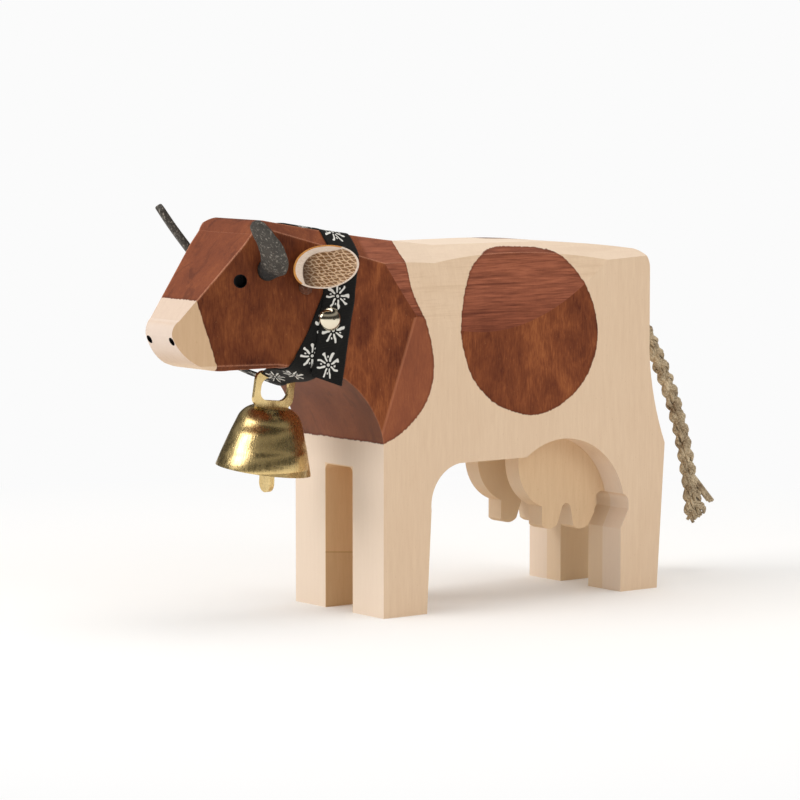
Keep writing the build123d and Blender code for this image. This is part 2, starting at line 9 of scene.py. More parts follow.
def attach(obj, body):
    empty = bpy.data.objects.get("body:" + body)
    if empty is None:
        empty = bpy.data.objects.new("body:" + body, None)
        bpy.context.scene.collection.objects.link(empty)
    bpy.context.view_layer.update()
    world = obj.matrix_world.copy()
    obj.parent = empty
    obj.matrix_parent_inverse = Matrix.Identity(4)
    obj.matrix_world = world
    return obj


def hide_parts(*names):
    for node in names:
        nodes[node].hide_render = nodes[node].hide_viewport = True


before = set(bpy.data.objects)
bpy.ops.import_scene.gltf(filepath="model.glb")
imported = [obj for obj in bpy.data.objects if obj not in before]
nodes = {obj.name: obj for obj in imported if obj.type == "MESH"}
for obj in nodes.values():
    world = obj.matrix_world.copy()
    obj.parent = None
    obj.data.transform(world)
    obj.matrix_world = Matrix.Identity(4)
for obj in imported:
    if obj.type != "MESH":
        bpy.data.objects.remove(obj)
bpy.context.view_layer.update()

MM = 0.001


# The camera stands level with the cow, in front of its left shoulder, and looks at
# the middle of the body through a long lens.
camera = bpy.data.objects.new("studio_camera", bpy.data.cameras.new("studio_camera"))
camera.location = (0.79504, -0.59895, 0.15020)
camera_aim = Vector((0, 0.00015, 0.0554)) - camera.location
camera.rotation_euler = camera_aim.to_track_quat("-Z", "Y").to_euler()
camera.data.lens = 166.5
camera.data.clip_end = 20
bpy.context.collection.objects.link(camera)
bpy.context.scene.camera = camera
bpy.context.scene.view_settings.view_transform = "Standard"


# The floor is a wide sheet of white studio card, lit by three soft boxes.
# Each light is a large square turned towards the cow, and the room's walls add the rest.
def put(tree, kind, inputs=None, **settings):
    """A shader node with its settings, and its inputs linked or given a value."""
    node = tree.nodes.new("ShaderNode" + kind)
    for key, value in settings.items():
        setattr(node, key, value)
    for key, value in (inputs or {}).items():
        socket = node.inputs[key]
        if isinstance(value, bpy.types.NodeSocket):
            tree.links.new(value, socket)
        else:
            socket.default_value = value
    return node


def calc(tree, operation, *values):
    """The result of one Math node."""
    return put(tree, "Math", dict(enumerate(values)), operation=operation).outputs[0]


def blend_colour(tree, share, first, second, mode="MIX"):
    """The result of mixing two colours."""
    inputs = {"Factor": share, 6: first, 7: second}
    return put(tree, "Mix", inputs, data_type="RGBA", blend_type=mode).outputs[2]


def colour_ramp(tree, value, *stops):
    """Colours blended along a value, from two or more stops of a place and a colour."""
    ramp = put(tree, "ValToRGB", {"Fac": value})
    elements = ramp.color_ramp.elements
    elements[0].position, elements[0].color = stops[0]
    elements[1].position, elements[1].color = stops[-1]
    for place, colour in stops[1:-1]:
        elements.new(place).color = colour
    return ramp.outputs[0]


def finish_material(name):
    """A new material with an empty Principled shader on its output."""
    material = bpy.data.materials.new(name)
    material.use_nodes = True
    tree = material.node_tree
    tree.nodes.clear()
    shader = put(tree, "BsdfPrincipled")
    put(tree, "OutputMaterial", {"Surface": shader.outputs[0]})
    return material, tree, shader


def set_inputs(tree, shader, **inputs):
    """Link or set inputs of a shader, with underscores for the spaces in their names."""
    for key, value in inputs.items():
        socket = shader.inputs[key.replace("_", " ")]
        if isinstance(value, bpy.types.NodeSocket):
            tree.links.new(value, socket)
        else:
            socket.default_value = value


def mesh_object(name, vertices, faces, material):
    """A new smooth-shaded mesh object from points in metres."""
    mesh = bpy.data.meshes.new(name)
    mesh.from_pydata([tuple(v) for v in vertices], [], faces)
    mesh.validate()
    mesh.update()
    obj = bpy.data.objects.new(name, mesh)
    bpy.context.collection.objects.link(obj)
    mesh.materials.append(material)
    for polygon in mesh.polygons:
        polygon.use_smooth = True
    return obj


card, tree, shader = finish_material("studio_card")
set_inputs(tree, shader, Base_Color=(0.92, 0.92, 0.92, 1), Roughness=0.9)
shader.inputs["Specular IOR Level"].default_value = 0.2
on_card = put(tree, "TexCoord").outputs["Object"]
from_cow = put(tree, "VectorMath", {0: on_card}, operation="LENGTH").outputs["Value"]
beyond_shadow = put(tree, "MapRange", {"Value": from_cow, "From Min": 0.10, "From Max": 0.30})
seen = put(tree, "LightPath").outputs["Is Camera Ray"]
far_card = calc(tree, "MULTIPLY", beyond_shadow.outputs[0], seen)
backdrop = put(tree, "Emission", {"Color": (0.965, 0.965, 0.965, 1)})
card_finish = put(tree, "MixShader", {0: far_card, 1: shader.outputs[0], 2: backdrop.outputs[0]})
tree.links.new(card_finish.outputs[0], tree.nodes["Material Output"].inputs["Surface"])
card_half = 6.0
card_corners = [(-card_half, -card_half, 0), (card_half, -card_half, 0),
                (card_half, card_half, 0), (-card_half, card_half, 0)]
floor = mesh_object("studio_floor", card_corners, [(0, 1, 2, 3)], card)

world = bpy.data.worlds.new("studio_room")
bpy.context.scene.world = world
world.use_nodes = True
tree = world.node_tree
tree.nodes.clear()
sky_height = put(tree, "SeparateXYZ", {0: put(tree, "TexCoord").outputs["Generated"]}).outputs[2]

# The wood is lit by a room that is dim below and bright above. The brass and the tack
# mirror bands of dark corners and bright cards instead, each given by height and tone.
mirrored_bands = ((0.0, 0.30), (0.10, 0.06), (0.36, 0.08), (0.44, 0.42), (0.60, 0.46),
                  (0.68, 0.10), (0.76, 0.03), (0.90, 0.04), (0.96, 0.30), (1.0, 0.80))
wall_share = put(tree, "MapRange", {"Value": sky_height, "From Min": 0.12, "From Max": 0.45}).outputs[0]
wall_tone = blend_colour(tree, wall_share, (0.16, 0.145, 0.125, 1), (1.0, 0.98, 0.95, 1))
seen = put(tree, "LightPath").outputs["Is Camera Ray"]
bands = [(height, (tone, tone * 0.96, tone * 0.88, 1)) for height, tone in mirrored_bands]
mirrored = colour_ramp(tree, sky_height, *bands)
in_mirror = put(tree, "LightPath").outputs["Is Glossy Ray"]
wall_tone = blend_colour(tree, in_mirror, wall_tone, mirrored)
room = put(tree, "Background", {"Color": wall_tone, "Strength": 0.76})
beyond = put(tree, "Background", {"Color": (1.0, 1.0, 1.0, 1), "Strength": 0.965})
either = put(tree, "MixShader", {0: seen, 1: room.outputs[0], 2: beyond.outputs[0]})
put(tree, "OutputWorld", {"Surface": either.outputs[0]})

# The side box lights the cow, but isn't mirrored in its brass.
lit_point = Vector((0, 0, 0.05))
for light_name, place, size, power in (
        ("front_soft_box", (-0.35, -1.15, 0.80), 0.8, 9.4),
        ("side_soft_box", (1.25, 0.25, 0.70), 0.7, 2.8),
        ("top_soft_box", (0.1, 0.25, 1.5), 0.9, 5.2)):
    lamp = bpy.data.lights.new(light_name, "AREA")
    lamp.shape = "SQUARE"
    lamp.size = size
    lamp.energy = power
    lamp.color = (1.0, 0.985, 0.965)
    lamp_object = bpy.data.objects.new(light_name, lamp)
    lamp_object.location = place
    lamp_object.visible_glossy = light_name != "side_soft_box"
    towards_cow = lit_point - Vector(place)
    lamp_object.rotation_euler = towards_cow.to_track_quat("-Z", "Y").to_euler()
    bpy.context.collection.objects.link(lamp_object)


# The cow is sawn from one board of pale lime wood with its grain upright, carved with
# flat and scooped facets, sanded, and stained reddish brown on its head, neck and flanks.
def srgb(red, green, blue):
    """A colour given in 0 to 255 display values, as the shader needs it."""
    def line(value):
        value = value / 255
        return value / 12.92 if value <= 0.04045 else ((value + 0.055) / 1.055) ** 2.4
    return (line(red), line(green), line(blue), 1)


def smooth_step(tree, value, low, high):
    """A soft switch from 0 to 1 between two values."""
    inputs = {"Value": value, "From Min": low, "From Max": high}
    return put(tree, "MapRange", inputs, interpolation_type="SMOOTHSTEP").outputs[0]


def both(tree, *masks):
    """A mask for where all the masks hold."""
    shared = masks[0]
    for mask in masks[1:]:
        shared = calc(tree, "MULTIPLY", shared, mask)
    return shared


def without(tree, mask):
    """The reverse of a mask."""
    return calc(tree, "SUBTRACT", 1.0, mask)


def tint(tree, tone, mask, colour, weight=None, mode="MIX"):
    """A tone changed by a colour where a mask holds, in full or by a weight."""
    share = mask if weight is None else calc(tree, "MULTIPLY", mask, weight)
    return blend_colour(tree, share, tone, colour, mode)


def stretched_noise(tree, where, stretch, scale, detail=3, rough=0.55, distortion=0.0):
    """Noise drawn out along an axis."""
    shrunk = put(tree, "VectorMath", {0: where, 1: stretch}, operation="MULTIPLY")
    inputs = {"Vector": shrunk.outputs[0], "Scale": scale, "Detail": detail,
              "Roughness": rough, "Distortion": distortion}
    return put(tree, "TexNoise", inputs).outputs["Fac"]


def polar_outline(tree, across, up, centre, radii):
    """How far a point lies inside a closed outline, given as radii at equal turns round a centre."""
    run = calc(tree, "SUBTRACT", across, centre[0])
    rise = calc(tree, "SUBTRACT", up, centre[1])
    turn = calc(tree, "MULTIPLY_ADD", calc(tree, "ARCTAN2", rise, run), 0.5 / math.pi, 0.5)
    curve = put(tree, "FloatCurve", {"Value": turn})
    points = curve.mapping.curves[0].points
    largest = max(radii)
    for index in range(1, len(radii)):
        points.new(index / len(radii), radii[index] / largest)
    points[0].location = (0, radii[0] / largest)
    points[len(points) - 1].location = (1, radii[0] / largest)
    curve.mapping.update()
    reach = calc(tree, "MULTIPLY", curve.outputs[0], largest)
    square = calc(tree, "MULTIPLY_ADD", run, run, calc(tree, "MULTIPLY", rise, rise))
    return calc(tree, "SUBTRACT", reach, calc(tree, "SQRT", square))


# Places on the wood are read in millimetres. The eye, the horn hole and the ear hole are
# given on the left side, and the right side has the same.
eye_place = (11.4, -59.9, 90.4)
nostril_place = (5.2, -76.9, 75.2)
horn_hole_place = (13.7, -52.7, 93.2)
ear_hole_place = (14.5, -42.0, 88.5)

wood, tree, shader = finish_material("stained_lime_wood")
object_place = put(tree, "TexCoord").outputs["Object"]
to_millimetres = {0: object_place, 1: (1 / MM, 1 / MM, 1 / MM)}
where = put(tree, "VectorMath", to_millimetres, operation="MULTIPLY").outputs[0]
parts = put(tree, "SeparateXYZ", {0: where}).outputs
x, y, z = parts[0], parts[1], parts[2]
side = calc(tree, "ABSOLUTE", x)
half_place = put(tree, "CombineXYZ", {0: side, 1: y, 2: z}).outputs[0]
facing = put(tree, "NewGeometry").outputs["Normal"]
facing_parts = put(tree, "SeparateXYZ", {0: facing}).outputs
sideways = calc(tree, "ABSOLUTE", facing_parts[0])
forwards = calc(tree, "MULTIPLY", facing_parts[1], -1.0)
upwards = facing_parts[2]

# Growth rings lie nearly flat to the cow's sides, with upright fibres.
ring_spacing = 1.9
slow = stretched_noise(tree, where, (1, 1, 0.25), 0.06, 2, 0.5)
ring_place = calc(tree, "MULTIPLY_ADD", slow, 3.0, calc(tree, "MULTIPLY_ADD", y, 0.05, x))
ring_wave = calc(tree, "SINE", calc(tree, "MULTIPLY", ring_place, 2 * math.pi / ring_spacing))
ring = calc(tree, "POWER", calc(tree, "MULTIPLY_ADD", ring_wave, 0.5, 0.5), 2.0)
fibre = stretched_noise(tree, where, (1, 1, 0.07), 2.6, 4, 0.6)
coarse_fibre = stretched_noise(tree, where, (1, 1, 0.10), 0.75, 3, 0.55)
blotch = stretched_noise(tree, where, (1, 1, 0.55), 0.075, 3, 0.5, 0.4)
speck = stretched_noise(tree, where, (1, 1, 0.45), 2.6, 2, 0.5)
grain = calc(tree, "MULTIPLY_ADD", fibre, 0.46, calc(tree, "MULTIPLY", ring, 0.06))
grain = calc(tree, "MULTIPLY_ADD", coarse_fibre, 0.42, grain)

# Facets that tilt upwards cut across the rings, which shows as fine level lines.
tilted = both(tree, smooth_step(tree, upwards, 0.06, 0.10), smooth_step(tree, sideways, 0.3, 0.5),
              smooth_step(tree, y, -24.0, -22.0))
level_lines = stretched_noise(tree, where, (0.3, 0.05, 1.0), 1.9, 4, 0.65)
bold_lines = stretched_noise(tree, where, (0.1, 0.02, 1.0), 0.42, 1, 0.5)
level = calc(tree, "MULTIPLY_ADD", smooth_step(tree, bold_lines, 0.60, 0.72), 0.16, level_lines)

pale = colour_ramp(tree, grain, (0.28, srgb(231, 205, 176)), (0.72, srgb(220, 191, 161)))
pale = tint(tree, pale, smooth_step(tree, speck, 0.66, 0.76), srgb(196, 162, 126), 0.4)
faint_level = both(tree, tilted, smooth_step(tree, level, 0.45, 0.75))
pale = tint(tree, pale, faint_level, srgb(205, 172, 138), 0.35)

# Faces turned to the front and top soft boxes are painted whiter, a painted highlight, and the slot between
# the legs is painted warmer and darker, painted shade.
slot_half_width = 6.3
slot_top = 39.3
hind_legs_from = 20.0
# Painted highlight: whiter on the faces turned to the front and top soft boxes.
painted_front_top_light = calc(tree, "MAXIMUM", smooth_step(tree, forwards, 0.55, 0.95),
                 smooth_step(tree, upwards, 0.45, 0.9))
pale = tint(tree, pale, painted_front_top_light, srgb(240, 225, 210), 0.62)
# Painted shade: the slot between the legs is tinted warmer and darker.
in_slot = both(tree, calc(tree, "LESS_THAN", side, slot_half_width), calc(tree, "LESS_THAN", z, slot_top))
behind = calc(tree, "GREATER_THAN", y, hind_legs_from)
painted_slot_shade = blend_colour(tree, behind, srgb(252, 240, 217), srgb(255, 252, 250))
pale = tint(tree, pale, in_slot, painted_slot_shade, mode="MULTIPLY")

# The saw left a small step across the sides of the front slot, with duller wood below it.
saw_step = calc(tree, "MULTIPLY_ADD", y, -0.085, 13.3)
hind_slot = both(tree, in_slot, behind)
front_slot = calc(tree, "SUBTRACT", in_slot, hind_slot)
below_step = both(tree, front_slot, calc(tree, "LESS_THAN", z, saw_step))
pale = tint(tree, pale, below_step, srgb(246, 246, 246), mode="MULTIPLY")
on_step = both(tree, front_slot, calc(tree, "COMPARE", z, saw_step, 0.22))
pale = tint(tree, pale, on_step, srgb(236, 230, 222), mode="MULTIPLY")
# Painted shade: the slot between the hind legs, by the udder, is tinted warmer and darker again.
pale = tint(tree, pale, hind_slot, srgb(242, 226, 202), 0.5)

# The pocket round the udder is painted a little darker and warmer, painted shade in the recess, and the
# muzzle's sides are a little duller.
pocket_half_width = 12.2
pocket_top = 45.0
pocket_middle = 46.0
pocket_half_length = 30.0
muzzle_end = -57.0
not_behind = calc(tree, "LESS_THAN", facing_parts[1], 0.5)
# Painted shade in the recessed pocket round the udder.
pocket_shade_mask = both(tree, calc(tree, "LESS_THAN", side, pocket_half_width),
                 calc(tree, "LESS_THAN", z, pocket_top),
                 calc(tree, "COMPARE", y, pocket_middle, pocket_half_length), not_behind)
pale = tint(tree, pale, pocket_shade_mask, srgb(249, 243, 230), mode="MULTIPLY")
on_muzzle = calc(tree, "LESS_THAN", y, muzzle_end)
muzzle_side = both(tree, on_muzzle, smooth_step(tree, sideways, 0.6, 0.8))
pale = tint(tree, pale, muzzle_side, srgb(234, 224, 210), mode="MULTIPLY")
muzzle_front = both(tree, on_muzzle, smooth_step(tree, forwards, 0.3, 0.6))
pale = tint(tree, pale, muzzle_front, srgb(240, 240, 246), mode="MULTIPLY")

# The stain soaked in unevenly, in clouds and short fibres, and lies darker on the head.
short_fibre = stretched_noise(tree, where, (1, 1, 0.16), 2.2, 4, 0.7, 0.5)
cloud = stretched_noise(tree, where, (1, 1, 0.55), 0.17, 4, 0.62, 0.8)
stain_value = calc(tree, "MULTIPLY_ADD", blotch, 0.42, calc(tree, "MULTIPLY_ADD", cloud, 0.55, -0.235))
stain_value = calc(tree, "MULTIPLY_ADD", short_fibre, 0.50, stain_value)
stained = colour_ramp(tree, stain_value, (0.30, srgb(86, 38, 21)), (0.5, srgb(127, 67, 37)),
                      (0.72, srgb(168, 99, 56)))
stained = tint(tree, stained, smooth_step(tree, speck, 0.68, 0.78), srgb(196, 138, 92), 0.35)
on_head = without(tree, smooth_step(tree, y, -46.0, -34.0))
stained = tint(tree, stained, on_head, srgb(214, 208, 202), mode="MULTIPLY")

# On the facets that tilt upwards it is redder, with level lines, and darker in the low scoops.
level_tone = colour_ramp(tree, level, (0.30, srgb(180, 108, 80)), (0.74, srgb(100, 53, 40)))
low_scoop = without(tree, smooth_step(tree, z, 66.0, 90.0))
red_tone = tint(tree, level_tone, low_scoop, srgb(196, 176, 170), mode="MULTIPLY")
stained = tint(tree, stained, tilted, red_tone, 0.85)

# The stain is painted lighter on faces turned to the front and top soft boxes, a painted highlight, with
# darker brushed streaks on the forehead and the poll; the chest, under the jaw and the bell, is painted
# duller as painted shade.
# Painted highlight: lighter stain on the faces turned to the front and top soft boxes.
stain_faces_to_lights = calc(tree, "MAXIMUM", smooth_step(tree, forwards, 0.4, 0.7),
                   smooth_step(tree, upwards, 0.5, 0.9))
stained = tint(tree, stained, stain_faces_to_lights, srgb(156, 90, 66), 0.4)
brushed = stretched_noise(tree, where, (1.0, 0.5, 0.6), 0.20, 4, 0.65, 1.2)
brush_streak = both(tree, stain_faces_to_lights, smooth_step(tree, brushed, 0.50, 0.68))
stained = tint(tree, stained, brush_streak, srgb(92, 50, 38), 0.6)
# Painted shade: the chest under the jaw and the bell is duller.
shaded_chest = both(tree, calc(tree, "LESS_THAN", z, 66.0), smooth_step(tree, forwards, 0.2, 0.5))
stained = tint(tree, stained, shaded_chest, srgb(146, 108, 86), 0.3)
# Painted shade: the chest is darker still towards its sides.
chest_side_shade = both(tree, shaded_chest, smooth_step(tree, side, 6.0, 17.0))
stained = tint(tree, stained, chest_side_shade, srgb(84, 52, 40), 0.55)

# The flat side behind the neck's facet took the stain more lightly than the facet did.
shoulder_top = 79.4
shoulder_back = 2.0
past_facet = calc(tree, "SUBTRACT", y, calc(tree, "MULTIPLY_ADD", z, 0.3634, -38.65))
on_flat = both(tree, calc(tree, "LESS_THAN", z, shoulder_top), calc(tree, "LESS_THAN", y, shoulder_back),
               smooth_step(tree, sideways, 0.90, 0.95))
flat_side = both(tree, on_flat, smooth_step(tree, past_facet, -0.2, 0.3))
stained = tint(tree, stained, flat_side, srgb(156, 92, 66), 0.5)
facet_line = without(tree, smooth_step(tree, calc(tree, "ABSOLUTE", past_facet), 0.1, 0.7))
stained = tint(tree, stained, both(tree, facet_line, on_flat), srgb(190, 122, 88), 0.4)

# The stain was brushed up to pencilled outlines, and crept a little along the fibres.
# The far flank's patch sits further back and higher, and comes over the edge of the back.
patch_centre = (29.5, 75.0)
far_patch_shift = (23.2, 6.0)
patch_radii = (24.2, 23.7, 23.8, 23.6, 23.5, 23.4, 23.9, 24.0, 24.0, 24.2, 24.2, 23.9,
               23.2, 22.4, 21.9, 22.3, 22.6, 22.0, 21.6, 22.6, 23.9, 24.2, 23.5, 23.4)
creep = calc(tree, "MULTIPLY_ADD", stretched_noise(tree, where, (1, 1, 0.3), 1.3, 3, 0.6), 0.9, -0.45)
far_side = calc(tree, "LESS_THAN", x, 0.0)
patch_y = calc(tree, "MULTIPLY_ADD", far_side, -far_patch_shift[0], y)
patch_z = calc(tree, "MULTIPLY_ADD", far_side, -far_patch_shift[1], z)
patch = polar_outline(tree, patch_y, patch_z, patch_centre, patch_radii)
back_edge = calc(tree, "SUBTRACT", side, calc(tree, "MULTIPLY_ADD", far_side, -6.4, 13.4))
patch = calc(tree, "MINIMUM", patch, back_edge)
neck_centre = (-30.0, 72.0)
neck_radii = (60, 60, 60, 45, 34, 28, 26.3, 27.2, 27.7, 28.1, 28.3, 27.3,
              25.6, 24.5, 24.2, 27.6, 37.0, 55.0, 60, 60, 60, 60, 60, 60)
neck = polar_outline(tree, y, z, neck_centre, neck_radii)
chest_edge = calc(tree, "SUBTRACT", z, calc(tree, "MULTIPLY_ADD", x, 0.062, 43.9))
neck = calc(tree, "MINIMUM", neck, chest_edge)
muzzle_edge = calc(tree, "MULTIPLY_ADD", z, 0.30, calc(tree, "ADD", y, 45.6))
neck = calc(tree, "MINIMUM", neck, muzzle_edge)
inside = calc(tree, "ADD", calc(tree, "MAXIMUM", patch, neck), creep)
stain_mask = smooth_step(tree, inside, -0.12, 0.12)
rim = both(tree, stain_mask, without(tree, smooth_step(tree, inside, 0.0, 0.9)))
stained = tint(tree, stained, rim, srgb(78, 36, 22), 0.45)

# Edges are sanded round, so the stain is worn through along them, less below the jaw
# and not round the drilled holes.
jaw_height = 65.5
rounded = put(tree, "Bevel", {"Radius": 0.0009}, samples=8).outputs[0]
agree = put(tree, "VectorMath", {0: rounded, 1: facing}, operation="DOT_PRODUCT").outputs["Value"]
edge = smooth_step(tree, without(tree, agree), 0.006, 0.05)
worn = both(tree, edge, smooth_step(tree, fibre, 0.20, 0.55),
            calc(tree, "MULTIPLY_ADD", calc(tree, "LESS_THAN", z, jaw_height), -0.8, 1.0))
for hole_place in (horn_hole_place, ear_hole_place, eye_place):
    apart = put(tree, "VectorMath", {0: half_place, 1: hole_place}, operation="DISTANCE").outputs["Value"]
    worn = both(tree, worn, smooth_step(tree, apart, 3.6, 4.4))
stained = tint(tree, stained, worn, srgb(214, 150, 118), 0.6)
colour = blend_colour(tree, stain_mask, pale, stained)


def in_hole(tree, point, direction, radius, reach):
    """A mask for the inside of a drilled hole and of its mirror image."""
    apart = put(tree, "VectorMath", {0: half_place, 1: point}, operation="SUBTRACT").outputs[0]
    crossed = put(tree, "VectorMath", {0: apart, 1: direction}, operation="CROSS_PRODUCT").outputs[0]
    off_axis = put(tree, "VectorMath", {0: crossed}, operation="LENGTH").outputs["Value"]
    away = put(tree, "VectorMath", {0: apart}, operation="LENGTH").outputs["Value"]
    return both(tree, calc(tree, "LESS_THAN", off_axis, radius), calc(tree, "LESS_THAN", away, reach))


# The drilled eyes and nostrils are painted black inside.
paint_reach = 6.0
eye_paint = in_hole(tree, eye_place, (0.868, -0.497, 0.0), 1.78, paint_reach)
nostril_paint = in_hole(tree, nostril_place, (0.0, 1.0, 0.0), 1.05, paint_reach)
paint = calc(tree, "MAXIMUM", eye_paint, nostril_paint)
colour = blend_colour(tree, paint, colour, (0.004, 0.004, 0.005, 1))
height = calc(tree, "MULTIPLY_ADD", fibre, 0.5, calc(tree, "MULTIPLY", grain, 0.5))
height = calc(tree, "MULTIPLY_ADD", both(tree, tilted, level), -0.4, height)
bump = put(tree, "Bump", {"Strength": 0.35, "Distance": 0.00012, "Height": height})
dullness = calc(tree, "MULTIPLY_ADD", stain_mask, -0.12, calc(tree, "MULTIPLY_ADD", fibre, 0.14, 0.62))
set_inputs(tree, shader, Base_Color=colour, Roughness=dullness, Normal=bump.outputs[0])
shader.inputs["Specular IOR Level"].default_value = 0.15

cow = nodes["cow_body"]
cow.data.materials.clear()
cow.data.materials.append(wood)
merge = cow.modifiers.new("merge_flat_faces", "DECIMATE")
merge.decimate_type = "DISSOLVE"
merge.angle_limit = math.radians(0.4)
sand = cow.modifiers.new("sanded_edges", "BEVEL")
sand.width = 0.55 * MM
sand.segments = 3
sand.limit_method = "ANGLE"
sand.angle_limit = math.radians(16)
sand.use_clamp_overlap = False
sand.miter_outer = "MITER_ARC"
shade = cow.modifiers.new("flat_facets", "WEIGHTED_NORMAL")
shade.weight = 100
shade.keep_sharp = False


# The horns are strips of thick dark leather, glued into drilled holes, that bend out of
# the head and then rise forward to a rounded tip.
def leather_grain_group():
    """Fine pores, pale specks and slow patches, shared by the horns and the ears."""
    group = bpy.data.node_groups.new("leather_grain", "ShaderNodeTree")
    group.interface.new_socket("Place", in_out="INPUT", socket_type="NodeSocketVector")
    group.interface.new_socket("Scale", in_out="INPUT", socket_type="NodeSocketFloat")
    for output_name in ("Pores", "Specks", "Patches"):
        group.interface.new_socket(output_name, in_out="OUTPUT", socket_type="NodeSocketFloat")
    source = group.nodes.new("NodeGroupInput").outputs
    place, scale = source[0], source[1]
    pores = put(group, "TexVoronoi", {"Vector": place, "Scale": scale}).outputs["Distance"]
    threads = stretched_noise(group, place, (1, 0.5, 0.5), scale, 3, 0.65)
    specks = smooth_step(group, threads, 0.53, 0.70)
    patches = put(group, "TexNoise", {"Vector": place, "Scale": calc(group, "MULTIPLY", scale, 0.12)})
    sink = group.nodes.new("NodeGroupOutput")
    group.links.new(pores, sink.inputs[0])
    group.links.new(specks, sink.inputs[1])
    group.links.new(patches.outputs["Fac"], sink.inputs[2])
    return group


leather_grain = leather_grain_group()


def placed_group(tree, group, scale):
    """A node group, placed in one material at a scale of its own."""
    node = tree.nodes.new("ShaderNodeGroup")
    node.node_tree = group
    tree.links.new(put(tree, "TexCoord").outputs["Object"], node.inputs["Place"])
    node.inputs["Scale"].default_value = scale
    return node


dark_leather, tree, shader = finish_material("dark_leather")
grain = placed_group(tree, leather_grain, 2100)
tone = blend_colour(tree, grain.outputs["Patches"], srgb(44, 41, 37), srgb(82, 77, 70))
tone = tint(tree, tone, grain.outputs["Specks"], srgb(168, 160, 148), 0.75)
# The horn's root, where it goes into the head, is painted almost black: a painted shadow.
from_middle = put(tree, "SeparateXYZ", {0: put(tree, "TexCoord").outputs["Object"]}).outputs[0]
from_middle = calc(tree, "ABSOLUTE", from_middle)
painted_root_shadow = without(tree, smooth_step(tree, from_middle, 0.0150, 0.0176))
tone = tint(tree, tone, painted_root_shadow, srgb(16, 13, 12), 0.85)
bump = put(tree, "Bump", {"Strength": 0.7, "Distance": 0.00018, "Height": grain.outputs["Pores"]})
set_inputs(tree, shader, Base_Color=tone, Roughness=0.72, Normal=bump.outputs[0])


def walk(line):
    """The distance along a line at each of its points."""
    distances = [0.0]
    for before, after in zip(line, line[1:]):
        distances.append(distances[-1] + (after - before).length)
    return distances


def curve_through(points, count):
    """Even samples of a smooth curve through points, with the share of the way at each."""
    points = [Vector(p) for p in points]
    padded = [points[0] * 2 - points[1]] + points + [points[-1] * 2 - points[-2]]
    samples = []
    for step in range(count + 1):
        place = step / count * (len(points) - 1)
        index = min(int(place), len(points) - 2)
        t = place - index
        a, b, c, d = padded[index:index + 4]
        samples.append(0.5 * ((2 * b) + (c - a) * t + (2 * a - 5 * b + 4 * c - d) * t * t
                              + (3 * b - 3 * c + d - a) * t * t * t))
    return samples


def value_along(values, share):
    """A value read smoothly from a short list spread evenly over a length."""
    place = share * (len(values) - 1)
    index = min(int(place), len(values) - 2)
    t = place - index
    t = t * t * (3 - 2 * t)
    return values[index] * (1 - t) + values[index + 1] * t


def soft_share(value, low, high):
    """A soft switch from 0 to 1 between two values."""
    t = max(0.0, min(1.0, (value - low) / (high - low)))
    return t * t * (3 - 2 * t)


horn_thickness = 2.1
horn_tip_length = 1.7
horn_root_radius = 2.86
horn_widths = (4.6, 6.6, 7.2, 6.6, 5.4, 3.6)
horn_facing = (Vector((0.40, -0.25, -0.88)), Vector((0.40, -0.68, -0.62)))


def rounded_end(left, length):
    """How full a strip is at a distance from its rounded end, from 0 to 1."""
    return math.sqrt(max(0.0, 1 - (1 - min(1.0, left / length)) ** 2))


def leather_horn(name, mirror_side, line):
    """A strap of leather along a curve, rolled at its root, with a rounded tip."""
    steps, ring = 60, 20
    centres = curve_through(line, steps)
    vertices, faces = [], []
    total = walk(centres)
    for i, centre in enumerate(centres):
        run = (centres[min(i + 1, steps)] - centres[max(i - 1, 0)]).normalized()
        faced = horn_facing[0].lerp(horn_facing[1], soft_share(i / steps, 0.15, 0.6))
        across = run.cross(faced).normalized()
        out = across.cross(run).normalized()
        left = total[-1] - total[i]
        half = value_along(horn_widths, total[i] / total[-1]) / 2
        half *= 0.04 + 0.96 * rounded_end(left, horn_tip_length)
        thin = horn_thickness / 2 * (0.55 + 0.45 * rounded_end(left, 0.8))
        rolled = 1 - soft_share(i / steps, 0.17, 0.34)
        half = half * (1 - rolled) + horn_root_radius * rolled
        thin = thin * (1 - rolled) + horn_root_radius * rolled
        for k in range(ring):
            angle = 2 * math.pi * k / ring
            c, d = math.cos(angle), math.sin(angle)
            squareness = 0.45 + 0.55 * rolled
            round_x = math.copysign(abs(c) ** squareness, c)
            round_y = math.copysign(abs(d) ** squareness, d)
            curl = -0.10 * (round_x * half) ** 2 / 3.3
            rough = noise.noise(Vector((centre.x, centre.y + k, centre.z)) * 0.9) * 0.10
            point = centre + across * round_x * (half + rough) + out * (round_y * thin + curl)
            if mirror_side:
                point = Vector((-point.x, point.y, point.z))
            vertices.append(point * MM)
    for i in range(steps):
        for k in range(ring):
            a, b = i * ring + k, i * ring + (k + 1) % ring
            faces.append((a, b, b + ring, a + ring))
    faces.append(tuple(range(ring))[::-1])
    faces.append(tuple(range(steps * ring, (steps + 1) * ring)))
    if mirror_side:
        faces = [face[::-1] for face in faces]
    return mesh_object(name, vertices, faces, dark_leather)


# The horns differ only in how far they rise.
for horn_side, mirror_side, rise in (("left", False, 12.9), ("right", True, 15.7)):
    horn_line = [(9.6, -52.1, 93.0), (14.0, -52.7, 93.2), (17.4, -53.4, 93.1 + 0.06 * rise),
                 (20.5, -56.2, 93.1 + 0.38 * rise), (21.8, -59.6, 93.1 + 0.70 * rise),
                 (22.2, -63.0, 93.2 + rise)]
    horn = leather_horn(horn_side + "_leather_horn", mirror_side, horn_line)
    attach(horn, "cow")
    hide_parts(horn_side + "_horn")


